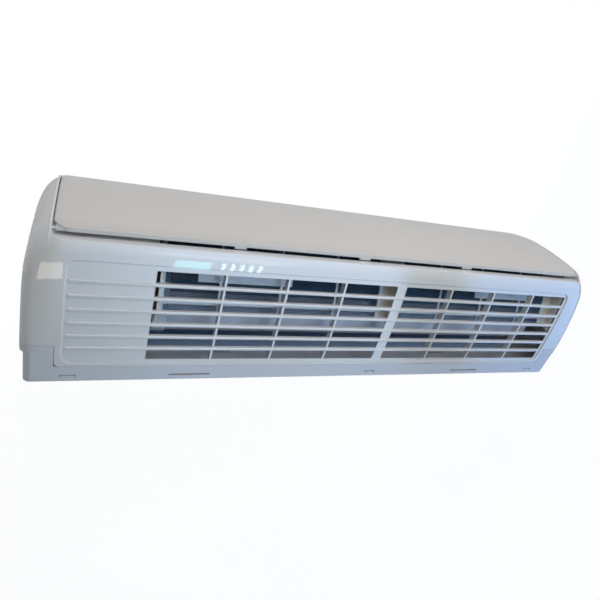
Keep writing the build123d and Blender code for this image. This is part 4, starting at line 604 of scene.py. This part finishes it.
def mesh_from(
    name: str,
    points: Iterable[Point],
    edges: Iterable[tuple[int, int]] = (),
    faces: Iterable[Sequence[int]] = (),
) -> bpy.types.Mesh:
    """Makes a mesh from points and what joins them.

    Args:
        name: The mesh's name.
        points: Its points.
        edges: Pairs of point numbers.
        faces: Loops of point numbers.

    Returns:
        The new mesh.
    """
    mesh = bpy.data.meshes.new(name)
    mesh.from_pydata(list(points), list(edges), list(faces))
    mesh.update()
    return mesh


class Repeater:
    """Runs a Geometry Nodes tree on a base mesh and keeps the plain result."""

    def __init__(self, name: str, inputs: Sequence[tuple[str, str]]) -> None:
        """Starts the tree.

        Args:
            name: The tree's name.
            inputs: Name and socket type of each size that the tree takes.
        """
        self.tree = bpy.data.node_groups.new(name, "GeometryNodeTree")
        self.tree.interface.new_socket("Geometry", in_out="INPUT", socket_type="NodeSocketGeometry")
        self.keys = {}
        for label, kind in (*inputs, ("Finish", "NodeSocketMaterial")):
            socket = self.tree.interface.new_socket(label, in_out="INPUT", socket_type=kind)
            self.keys[label] = socket.identifier
        self.tree.interface.new_socket("Geometry", in_out="OUTPUT", socket_type="NodeSocketGeometry")
        self.sheet = NodeSheet(self.tree)
        self.given = self.sheet.add("NodeGroupInput").outputs

    def end(self, geometry: bpy.types.NodeSocket) -> None:
        """Realizes the instances, sets the finish and closes the tree.

        Args:
            geometry: Socket with what the tree has made.
        """
        real = self.sheet.add("GeometryNodeRealizeInstances", {0: geometry})
        coloured = self.sheet.add(
            "GeometryNodeSetMaterial", {"Geometry": real.outputs[0], "Material": self.given["Finish"]}
        )
        self.sheet.add("NodeGroupOutput", {0: coloured.outputs[0]})

    def run(self, name: str, base: bpy.types.Mesh, body: str, values: dict[str, Any]) -> bpy.types.Object:
        """Evaluates the tree and returns its result as a piece.

        Args:
            name: The piece's name.
            base: The mesh that the tree starts from.
            body: The CAD body the piece rides on.
            values: One value for each named input.

        Returns:
            The finished piece, with no modifier.
        """
        holder = bpy.data.objects.new(f"{name}_base", base)
        bpy.context.scene.collection.objects.link(holder)
        modifier = holder.modifiers.new(name, "NODES")
        modifier.node_group = self.tree
        for label, value in values.items():
            modifier[self.keys[label]] = value
        graph = bpy.context.evaluated_depsgraph_get()
        made = bpy.data.meshes.new_from_object(holder.evaluated_get(graph), depsgraph=graph)
        made.name = name
        bpy.data.objects.remove(holder)
        return piece_from(name, made, body)


def row_of(
    sheet: NodeSheet,
    count: bpy.types.NodeSocket,
    pitch: bpy.types.NodeSocket,
    piece: bpy.types.NodeSocket,
) -> bpy.types.Node:
    """Adds copies of a piece in a row along X.

    Args:
        sheet: The tree's sheet.
        count: Socket with the number of copies.
        pitch: Socket with their distance.
        piece: Socket with the geometry to copy.

    Returns:
        The node that holds the copies.
    """
    step = sheet.add("ShaderNodeCombineXYZ", {0: pitch})
    row = sheet.add("GeometryNodeMeshLine", {"Count": count, "Offset": step.outputs[0]}, mode="OFFSET")
    return sheet.add("GeometryNodeInstanceOnPoints", {"Points": row.outputs[0], "Instance": piece})


def fin_tree() -> Repeater:
    """Thin rippled plates side by side along X.

    Returns:
        The finished tree.
    """
    tree = Repeater(
        "fin_rows",
        [
            ("Fins", "NodeSocketInt"), ("Pitch", "NodeSocketFloat"), ("Thickness", "NodeSocketFloat"),
            ("Depth", "NodeSocketFloat"), ("Length", "NodeSocketFloat"), ("Ripple", "NodeSocketFloat"),
            ("Ripple Pitch", "NodeSocketFloat"), ("Place", "NodeSocketVector"), ("Turn", "NodeSocketVector"),
        ],
    )
    sheet, given = tree.sheet, tree.given
    size = sheet.add(
        "ShaderNodeCombineXYZ", {0: given["Thickness"], 1: given["Depth"], 2: given["Length"]}
    )
    plate = sheet.add(
        "GeometryNodeMeshCube", {"Size": size.outputs[0], "Vertices X": 2, "Vertices Y": 9, "Vertices Z": 2}
    )
    spot = sheet.add("ShaderNodeSeparateXYZ", {0: sheet.add("GeometryNodeInputPosition").outputs[0]})
    phase = sheet.math("DIVIDE", spot.outputs["Y"], given["Ripple Pitch"])
    swing = sheet.math("SINE", sheet.math("MULTIPLY", phase, math.tau))
    shift = sheet.add("ShaderNodeCombineXYZ", {0: sheet.math("MULTIPLY", swing, given["Ripple"])})
    rippled = sheet.add(
        "GeometryNodeSetPosition", {"Geometry": plate.outputs[0], "Offset": shift.outputs[0]}
    )
    fins = row_of(sheet, given["Fins"], given["Pitch"], rippled.outputs[0])
    placed = sheet.add(
        "GeometryNodeTransform",
        {"Geometry": fins.outputs[0], "Translation": given["Place"], "Rotation": given["Turn"]},
    )
    tree.end(placed.outputs[0])
    return tree


def tube_tree() -> Repeater:
    """A straight tube along X at each point of the base mesh.

    Returns:
        The finished tree.
    """
    tree = Repeater("tube_rows", [("Radius", "NodeSocketFloat"), ("Length", "NodeSocketFloat")])
    sheet, given = tree.sheet, tree.given
    tube = sheet.add(
        "GeometryNodeMeshCylinder", {"Vertices": 12, "Radius": given["Radius"], "Depth": given["Length"]}
    )
    rows = sheet.add(
        "GeometryNodeInstanceOnPoints",
        {"Points": given["Geometry"], "Instance": tube.outputs[0], "Rotation": (0.0, math.pi / 2, 0.0)},
    )
    tree.end(rows.outputs[0])
    return tree


def net_tree() -> Repeater:
    """Crossed threads: one set follows the base line, the other runs along X.

    Returns:
        The finished tree.
    """
    tree = Repeater(
        "thread_net",
        [
            ("Pitch", "NodeSocketFloat"), ("Thread", "NodeSocketFloat"), ("Cross Thread", "NodeSocketFloat"),
            ("Width", "NodeSocketFloat"), ("Threads", "NodeSocketInt"), ("Steps", "NodeSocketInt"),
        ],
    )
    sheet, given = tree.sheet, tree.given
    line = sheet.add("GeometryNodeMeshToCurve", {0: given["Geometry"]})
    even = sheet.add("GeometryNodeResampleCurve", {"Curve": line.outputs[0], "Count": given["Steps"]})
    ring = sheet.add("GeometryNodeCurvePrimitiveCircle", {"Resolution": 4, "Radius": given["Thread"]})
    long_thread = sheet.add(
        "GeometryNodeCurveToMesh",
        {"Curve": even.outputs[0], "Profile Curve": ring.outputs[0], "Fill Caps": True},
    )
    longs = row_of(sheet, given["Threads"], given["Pitch"], long_thread.outputs[0])
    length = sheet.add("GeometryNodeCurveLength", {0: line.outputs[0]})
    count = sheet.math("FLOOR", sheet.math("DIVIDE", length.outputs[0], given["Pitch"]))
    spots = sheet.add(
        "GeometryNodeCurveToPoints", {"Curve": line.outputs[0], "Count": count}, mode="COUNT"
    )
    across = given["Cross Thread"]
    bar_size = sheet.add("ShaderNodeCombineXYZ", {0: given["Width"], 1: across, 2: across})
    bar = sheet.add("GeometryNodeMeshCube", {"Size": bar_size.outputs[0]})
    half = sheet.add("ShaderNodeCombineXYZ", {0: sheet.math("MULTIPLY", given["Width"], 0.5)})
    moved = sheet.add(
        "GeometryNodeTransform", {"Geometry": bar.outputs[0], "Translation": half.outputs[0]}
    )
    crosses = sheet.add(
        "GeometryNodeInstanceOnPoints", {"Points": spots.outputs[0], "Instance": moved.outputs[0]}
    )
    joined = sheet.add("GeometryNodeJoinGeometry")
    for source in (longs, crosses):
        sheet.tree.links.new(source.outputs[0], joined.inputs[0])
    tree.end(joined.outputs[0])
    return tree


@dataclass(frozen=True)
class SlabLine:
    """Middle line of a coil slab's section, as (y, z) points."""

    name: str
    start: tuple[float, float]
    end: tuple[float, float]


@dataclass
class CoilPack:
    """Finned coil: three slabs of fins on two rows of tubes each."""

    wardrobe: Wardrobe
    left: float = -0.340
    right: float = 0.250
    depth: float = 0.026
    pitch: float = 0.0017
    thickness: float = 0.00035
    ripple: float = 0.0003
    ripples: int = 4
    row_places: tuple[float, float] = (-0.25, 0.25)
    tube_radius: float = 0.0035
    tube_pitch: float = 0.021
    tube_margin: float = 0.004
    slabs: tuple[SlabLine, ...] = (
        SlabLine("upper", (-0.088, 0.106), (-0.146, 0.048)),
        SlabLine("lower", (-0.158, 0.040), (-0.1485, -0.031)),
        SlabLine("rear", (-0.062, 0.104), (-0.031, 0.031)),
    )

    def tubes(self, start: Vector, end: Vector) -> list[Point]:
        """Spreads the tubes over a slab's two rows, an even number in each.

        Args:
            start: Upper end of the slab's middle line, as (y, z).
            end: Its lower end.

        Returns:
            The middle point of each tube.
        """
        run = end - start
        along = run.normalized()
        side = Vector((-along.y, along.x))
        count = 2 * int((run.length - 2 * self.tube_margin) / self.tube_pitch / 2)
        first = (run.length - (count - 1) * self.tube_pitch) / 2
        middle = (self.left + self.right) / 2
        points = []
        for row in self.row_places:
            for i in range(count):
                spot = start + along * (first + i * self.tube_pitch) + side * (row * self.depth)
                points.append((middle, spot.x, spot.y))
        return points

    def build(self) -> list[bpy.types.Object]:
        """Makes the fins and tubes of each slab, in the place of its solid.

        Returns:
            The finished pieces.
        """
        fins, rows = fin_tree(), tube_tree()
        length = self.right - self.left
        count = int(length / self.pitch)
        margin = (length - (count - 1) * self.pitch) / 2
        made = []
        for slab in self.slabs:
            start, end = Vector(slab.start), Vector(slab.end)
            middle = (start + end) / 2
            run = end - start
            pack = fins.run(
                f"coil_fins_{slab.name}",
                mesh_from(f"fins_{slab.name}", [(0.0, 0.0, 0.0)]),
                "unit",
                {
                    "Fins": count, "Pitch": self.pitch, "Thickness": self.thickness, "Depth": self.depth,
                    "Length": run.length, "Ripple": self.ripple, "Ripple Pitch": self.depth / self.ripples,
                    "Place": (self.left + margin, middle.x, middle.y),
                    "Turn": (math.atan2(-run.x, run.y), 0.0, 0.0),
                    "Finish": self.wardrobe.materials["fins"],
                },
            )
            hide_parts(f"coil_slab_{slab.name}")
            copper = self.wardrobe.materials["copper"]
            tubes = rows.run(
                f"coil_tubes_{slab.name}",
                mesh_from(f"tubes_{slab.name}", self.tubes(start, end)),
                "unit",
                {"Radius": self.tube_radius, "Length": length, "Finish": copper},
            )
            made += [pack, tubes]
        return made


@dataclass
class FilterSet:
    """Two nets, in the frames that slide under the grille."""

    wardrobe: Wardrobe
    pitch: float = 0.0019
    thread: float = 0.00028
    cross_thread: float = 0.000448
    steps: int = 34
    inset: float = 0.0006
    path: tuple[tuple[float, float], ...] = (
        (-0.0880, 0.1310), (-0.1030, 0.1262), (-0.1200, 0.1204), (-0.1370, 0.1134),
        (-0.1520, 0.1045), (-0.1640, 0.0930), (-0.1715, 0.0770), (-0.1753, 0.0550),
        (-0.1763, 0.0300), (-0.1746, 0.0050), (-0.1712, -0.0160), (-0.1664, -0.0340),
    )

    def build(self) -> list[bpy.types.Object]:
        """Makes both nets from threads.

        Returns:
            The finished pieces.
        """
        tree = net_tree()
        made = []
        for side in ("left", "right"):
            low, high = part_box(f"filter_net_{side}")
            left = low[0] + self.inset
            width = high[0] - low[0] - 2 * self.inset
            points = [(left, y, z) for y, z in self.path]
            edges = [(i, i + 1) for i in range(len(points) - 1)]
            net = tree.run(
                f"net_{side}",
                mesh_from(f"net_line_{side}", points, edges),
                "unit",
                {
                    "Pitch": self.pitch, "Thread": self.thread, "Cross Thread": self.cross_thread,
                    "Width": width, "Threads": int(width / self.pitch), "Steps": self.steps,
                    "Finish": self.wardrobe.materials["filter_net"],
                },
            )
            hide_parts(f"filter_net_{side}")
            made.append(net)
        return made


def rounded_slab(low: Point, high: Point, radius: float, cuts: int) -> bmesh.types.BMesh:
    """A slab between two corners with rounded edges.

    Args:
        low: Its lowest corner.
        high: Its highest corner.
        radius: Radius of its edges.
        cuts: How often its long edges are divided, so that it can bend.

    Returns:
        The slab as an open bmesh.
    """
    slab = bmesh.new()
    bmesh.ops.create_cube(slab, size=1.0)
    middle = (Vector(low) + Vector(high)) / 2
    size = Vector(high) - Vector(low)
    for vert in slab.verts:
        vert.co = middle + Vector(c * s for c, s in zip(vert.co, size))
    long_edges = [
        edge for edge in slab.edges if abs(edge.verts[0].co.x - edge.verts[1].co.x) > size.x / 2
    ]
    bmesh.ops.subdivide_edges(slab, edges=long_edges, cuts=cuts)
    sharp = [
        edge for edge in slab.edges if len(edge.link_faces) == 2 and edge.calc_face_angle() > SHARP_ANGLE
    ]
    bmesh.ops.bevel(slab, geom=sharp, offset=radius, segments=3, affect="EDGES", profile=0.5)
    return slab


@dataclass
class ShadeSheets:
    """Foam-textured sheets that are painted shade: one behind the coil darkens what shows through the grille,
    one under the chassis's top strip darkens what shows through its slots.
    """

    wardrobe: Wardrobe
    thickness: float = 0.0024
    edge: float = 0.0008
    sag: float = 0.0003
    waves: float = 0.085
    cuts: int = 40
    # Place of the painted-shade sheet on the back wall.
    wall_y: float = -0.0141
    past_coil_left: float = 0.008
    past_coil_right: float = 0.014
    wall_z: tuple[float, float] = (0.046, 0.1045)
    # Place of the painted-shade strip under the top strip's slots.
    slot_shade_half: float = 0.370
    slot_shade_y: float = -0.0006
    slot_shade_z: tuple[float, float] = (0.130, 0.1459)

    def sheet(
        self, name: str, across: tuple[float, float], back: float, up: tuple[float, float]
    ) -> bpy.types.Object:
        """Makes one upright sheet, with a front face that is a little uneven along X.

        Args:
            name: The piece's name.
            across: Its lowest and highest X.
            back: Y of its back face.
            up: Its lowest and highest Z.

        Returns:
            The finished piece.
        """
        low = (across[0], back - self.thickness, up[0])
        high = (across[1], back, up[1])
        slab = rounded_slab(low, high, self.edge, self.cuts)
        front = low[1] + self.thickness / 2
        for vert in slab.verts:
            if vert.co.y < front:
                vert.co.y += self.sag * (0.5 + 0.5 * math.sin(vert.co.x / self.waves * math.tau))
        mesh = bpy.data.meshes.new(name)
        slab.to_mesh(mesh)
        slab.free()
        mesh.shade_smooth()
        piece = piece_from(name, mesh, "unit")
        self.wardrobe.dress(piece, "foam_grey")
        return piece

    def build(self) -> list[bpy.types.Object]:
        """Makes the wide painted-shade sheet behind the rear slab, and the painted-shade strip under the top
        strip's slots.

        Returns:
            The finished pieces.
        """
        low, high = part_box("coil_slab_rear")
        behind_coil = (low[0] - self.past_coil_left, high[0] + self.past_coil_right)
        return [
            # Painted shade: a dark blue-grey sheet behind the rear slab, where the grille shows the shaded
            # back wall.
            self.sheet("foam_back", behind_coil, self.wall_y, self.wall_z),
            # Painted shade: a dark strip under the top strip, so that its slots show shade instead of the
            # floor beyond.
            self.sheet("foam_seal", (-self.slot_shade_half, self.slot_shade_half), self.slot_shade_y, self.slot_shade_z),
        ]


@dataclass(frozen=True)
class ScrewHead:
    """Pan head with a cross recess, looking along +Z with its seat at Z = 0."""

    radius: float = 0.0027
    height: float = 0.0013
    recess: float = 0.00042
    depth_ratio: float = 2.0
    shallower: float = 0.6
    cross_reach: float = 0.66
    crown: float = 0.93
    flatness: int = 4
    sunk: float = 0.0002
    rings: int = 12
    turns: int = 40

    def height_at(self, x: float, y: float, share: float) -> float:
        """Height of the dome or of the recess's floor.

        Args:
            x: Distance from the middle along one arm of the cross.
            y: Distance from the middle along the other arm.
            share: Distance from the middle, as a share of the radius.

        Returns:
            The height over the seat.
        """
        dome = self.height * math.sqrt(max(0.0, 1.0 - (self.crown * share) ** self.flatness))
        if min(abs(x), abs(y)) < self.recess and share < self.cross_reach:
            return dome - self.depth_ratio * self.recess * (1.0 - self.shallower * share)
        return dome

    def mesh(self, name: str) -> bpy.types.Mesh:
        """Makes the closed mesh of the head.

        Args:
            name: The mesh's name.

        Returns:
            The new mesh.
        """
        turns = self.turns
        points: list[Point] = [(0.0, 0.0, self.height - self.depth_ratio * self.recess)]
        for ring in range(1, self.rings + 1):
            share = ring / self.rings
            for turn in range(turns):
                angle = math.tau * turn / turns
                x = self.radius * share * math.cos(angle)
                y = self.radius * share * math.sin(angle)
                points.append((x, y, self.height_at(x, y, share)))
        faces: list[Sequence[int]] = [(0, 1 + turn, 1 + (turn + 1) % turns) for turn in range(turns)]
        for ring in range(self.rings - 1):
            for turn in range(turns):
                a = 1 + ring * turns + turn
                b = 1 + ring * turns + (turn + 1) % turns
                faces.append((a, a + turns, b + turns, b))
        rim = 1 + (self.rings - 1) * turns
        base = len(points)
        points += [(x, y, -self.sunk) for x, y, _ in points[rim:rim + turns]]
        for turn in range(turns):
            after = (turn + 1) % turns
            faces.append((rim + turn, base + turn, base + after, rim + after))
        faces.append(tuple(base + turn for turn in reversed(range(turns))))
        return mesh_from(name, points, faces=faces)


def screw_tree() -> Repeater:
    """A screw head at each point of the base mesh, all turned one way.

    Returns:
        The finished tree.
    """
    tree = Repeater("screw_rows", [("Turn", "NodeSocketVector"), ("Head", "NodeSocketObject")])
    sheet, given = tree.sheet, tree.given
    source = sheet.add("GeometryNodeObjectInfo", {"Object": given["Head"]})
    aimed = sheet.add(
        "GeometryNodeInstanceOnPoints",
        {"Points": given["Geometry"], "Instance": source.outputs["Geometry"], "Rotation": given["Turn"]},
    )
    tree.end(aimed.outputs[0])
    return tree


@dataclass(frozen=True)
class ScrewRow:
    """Screws on one face, all looking the same way."""

    name: str
    places: tuple[Point, ...]
    turn: Point


@dataclass
class Fasteners:
    """Cross-head screws of the box cover and of the motor clamp."""

    wardrobe: Wardrobe
    head: ScrewHead = ScrewHead()
    lid_inset: float = 0.007
    foot_inset: float = 0.006
    foot_z: float = -0.0255
    foot_turn: Point = (0.0, 0.0, 0.3)

    def rows(self) -> list[ScrewRow]:
        """Places the screws on the faces of the parts that carry them.

        Returns:
            The row on the box cover and the row on the motor clamp.
        """
        low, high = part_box("box_cover")
        inset = self.lid_inset
        columns, levels = ((low[i] + inset, high[i] - inset) for i in (0, 2))
        lid = tuple((x, low[1], z) for x in columns for z in levels)
        low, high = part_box("motor_clamp")
        middle = (low[0] + high[0]) / 2
        inset = self.foot_inset
        feet = tuple((middle, y, self.foot_z) for y in (low[1] + inset, high[1] - inset))
        return [
            ScrewRow("screws_box_cover", lid, QUARTER_TURN),
            ScrewRow("screws_motor_clamp", feet, self.foot_turn),
        ]

    def build(self) -> list[bpy.types.Object]:
        """Makes each row from one head.

        Returns:
            The finished pieces.
        """
        made = []
        for row in self.rows():
            head = bpy.data.objects.new(f"{row.name}_head", self.head.mesh(f"{row.name}_head"))
            piece = screw_tree().run(
                row.name,
                mesh_from(f"{row.name}_points", row.places),
                "unit",
                {"Turn": row.turn, "Head": head, "Finish": self.wardrobe.materials["screw_steel"]},
            )
            bpy.data.objects.remove(head)
            piece.data.shade_smooth()
            made.append(piece)
        return made


@dataclass(frozen=True)
class SoftBox:
    """One area light aimed at a point."""

    name: str
    place: Point
    aim: Point
    width: float
    height: float
    power: float
    colour: Colour = (1.0, 1.0, 1.0)

    def build(self) -> bpy.types.Object:
        """Makes the light.

        Returns:
            The light's object.
        """
        data = bpy.data.lights.new(self.name, "AREA")
        data.shape = "RECTANGLE"
        data.size, data.size_y = self.width, self.height
        data.energy = self.power
        data.color = self.colour
        lamp = bpy.data.objects.new(self.name, data)
        lamp.location = self.place
        lamp.rotation_euler = (Vector(self.aim) - Vector(self.place)).to_track_quat("-Z", "Y").to_euler()
        bpy.context.scene.collection.objects.link(lamp)
        return lamp


@dataclass
class Studio:
    """Camera, pale floor, soft lights and the room that glossy faces mirror."""

    eye: Point = (0.3508, -0.4615, 0.6078)
    look: Point = (-0.4046, 0.4906, -0.7718)
    up: Point = (0.0655, -0.8262, -0.5595)
    lens: float = 30.25
    shift_x: float = -0.00432
    shift_y: float = -0.04498
    sensor: float = 36.0
    clip: tuple[float, float] = (0.02, 60.0)
    floor_z: float = -1.1
    floor_reach: float = 14.0
    floor_tone: Colour = (0.80, 0.795, 0.785)
    floor_second: Colour = (0.83, 0.825, 0.815)
    floor_cloud: float = 0.8
    floor_roughness: float = 0.9
    floor_glow: float = 1.05
    floor_mirrored: float = 0.30
    fill: Colour = (0.84, 0.90, 1.0)
    fill_strength: float = 0.11
    sky_near: Colour = (0.50, 0.68, 0.98)
    sky_far: Colour = (0.17, 0.35, 0.72)
    dark_side: Colour = (0.05, 0.05, 0.05)
    sky_strength: float = 7.0
    sky_depth: tuple[float, float, float, float] = (0.60, 0.16, 0.55, 1.0)
    sky_height: tuple[float, float] = (0.10, 0.45)
    sky_along: tuple[float, float] = (0.22, -0.24)
    sky_turns: tuple[float, float] = (-0.45, -0.75)
    gap_at: float = 0.625
    gap_width: float = 0.075
    gap_edge: tuple[float, float] = (1.0, 0.25)
    slat_places: tuple[float, ...] = (-0.19, -0.23, -0.27, -0.31, -0.35)
    slat_y: float = -0.01
    slat_z: float = 1.60
    slat_width: float = 0.018
    slat_length: float = 0.27
    slat_power: float = 0.15
    slat_colour: Colour = (0.75, 1.0, 1.0)
    lights: tuple[SoftBox, ...] = (
        SoftBox(
            "room_front", (-0.08, -0.80, 0.58), (-0.04, -0.15, 0.10),
            0.95, 0.35, 3.4, (1.0, 0.965, 0.93),
        ),
        SoftBox(
            "ceiling_glow", (-0.30, -0.60, 1.90), (-0.10, -0.10, 0.0),
            0.70, 0.50, 2.2, (0.88, 0.93, 1.0),
        ),
        SoftBox(
            "pane_wide", (-0.07, 0.00, 1.63), (-0.07, 0.00, 0.0),
            0.15, 0.30, 0.9, (0.30, 1.0, 0.97),
        ),
        SoftBox(
            "pane_near", (0.70, 0.24, 1.60), (0.70, 0.24, 0.0),
            0.55, 0.13, 1.0, (1.0, 0.90, 0.78),
        ),
    )

    def camera(self) -> None:
        """Places the camera at the photograph's angle."""
        data = bpy.data.cameras.new("camera")
        data.sensor_width = self.sensor
        data.lens = self.lens
        data.shift_x, data.shift_y = self.shift_x, self.shift_y
        data.clip_start, data.clip_end = self.clip
        eye = bpy.data.objects.new("camera", data)
        back = -Vector(self.look).normalized()
        side = Vector(self.up).cross(back).normalized()
        top = back.cross(side).normalized()
        turn = Matrix((side, top, back)).transposed().to_4x4()
        eye.matrix_world = Matrix.Translation(self.eye) @ turn
        bpy.context.scene.collection.objects.link(eye)
        bpy.context.scene.camera = eye

    def floor(self) -> None:
        """Lays the pale floor, which glows less where a glossy face mirrors it."""
        reach = self.floor_reach
        corners = [(-reach, -reach), (reach, -reach), (reach, reach), (-reach, reach)]
        mesh = mesh_from("floor", [(x, y, self.floor_z) for x, y in corners], faces=[(0, 1, 2, 3)])
        floor = bpy.data.objects.new("floor", mesh)
        bpy.context.scene.collection.objects.link(floor)
        material = bpy.data.materials.new("pale_floor")
        material.use_nodes = True
        material.node_tree.nodes.clear()
        sheet = NodeSheet(material.node_tree)
        place = sheet.add("ShaderNodeTexCoord").outputs["Object"]
        cloud = sheet.noise(place, self.floor_cloud, detail=3.0)
        tone = sheet.mix(cloud, solid(self.floor_tone), solid(self.floor_second))
        glossy = sheet.add("ShaderNodeLightPath").outputs["Is Glossy Ray"]
        glow = sheet.remap(glossy, 0.0, 1.0, self.floor_glow, self.floor_mirrored)
        shader = sheet.add(
            "ShaderNodeBsdfPrincipled",
            {
                "Base Color": tone, "Roughness": self.floor_roughness,
                "Emission Color": tone, "Emission Strength": glow,
            },
        )
        sheet.add("ShaderNodeOutputMaterial", {"Surface": shader.outputs[0]})
        mesh.materials.append(material)

    def world(self) -> None:
        """Surrounds the part with a dim room, and with a cool sky that only glossy faces mirror.

        The sky fades in above the horizon and towards -X, and is dimmer towards +Y. A dark gap
        crosses it where it turns from its near colour to its far one.
        """
        world = bpy.data.worlds.new("room")
        bpy.context.scene.world = world
        world.use_nodes = True
        world.node_tree.nodes.clear()
        sheet = NodeSheet(world.node_tree)
        seen = sheet.add("ShaderNodeTexCoord").outputs["Generated"]
        along, depth, height = sheet.add("ShaderNodeSeparateXYZ", {0: seen}).outputs
        ahead = sheet.remap(depth, *self.sky_depth)
        above = sheet.smooth(height, *self.sky_height)
        near = sheet.smooth(along, *self.sky_along)
        away = sheet.math("DIVIDE", sheet.math("ADD", along, self.gap_at), self.gap_width)
        dim = sheet.smooth(sheet.math("ABSOLUTE", away), *self.gap_edge)
        kept = sheet.math("SUBTRACT", 1.0, dim)
        lit = sheet.math("MULTIPLY", sheet.math("MULTIPLY", ahead, above), sheet.math("MULTIPLY", near, kept))
        far = sheet.smooth(along, *self.sky_turns)
        sky = sheet.mix(far, solid(self.sky_near), solid(self.sky_far))
        mirrored = sheet.mix(lit, solid(self.dark_side), sky)
        glossy = sheet.add("ShaderNodeLightPath").outputs["Is Glossy Ray"]
        strength = sheet.remap(glossy, 0.0, 1.0, self.fill_strength, self.sky_strength)
        colour = sheet.mix(glossy, solid(self.fill), mirrored)
        back = sheet.add("ShaderNodeBackground", {"Color": colour, "Strength": strength})
        sheet.add("ShaderNodeOutputWorld", {"Surface": back.outputs[0]})

    def slats(self) -> list[SoftBox]:
        """Lists the narrow strips of daylight that the glossy top mirrors beside the wide pane.

        Returns:
            One light for each strip.
        """
        y, z = self.slat_y, self.slat_z
        return [
            SoftBox(
                f"slat_{i}", (x, y, z), (x, y, 0.0),
                self.slat_width, self.slat_length, self.slat_power, self.slat_colour,
            )
            for i, x in enumerate(self.slat_places)
        ]

    def build(self) -> None:
        """Makes the whole stage."""
        self.camera()
        self.floor()
        self.world()
        for light in (*self.lights, *self.slats()):
            light.build()
        bpy.context.scene.view_settings.view_transform = "Standard"


def main() -> None:
    """Builds the looks of the whole unit in order."""
    logging.basicConfig(level=logging.INFO, format="%(message)s")
    Studio().build()
    wardrobe = Wardrobe()
    wardrobe.dress_nodes()
    # The foam-textured sheets among these pieces are painted shade.
    for assembly in (CoilPack(wardrobe), FilterSet(wardrobe), ShadeSheets(wardrobe), Fasteners(wardrobe)):
        for piece in assembly.build():
            LOG.info("%s: %d faces", piece.name, len(piece.data.polygons))


if __name__ == "__main__":
    main()
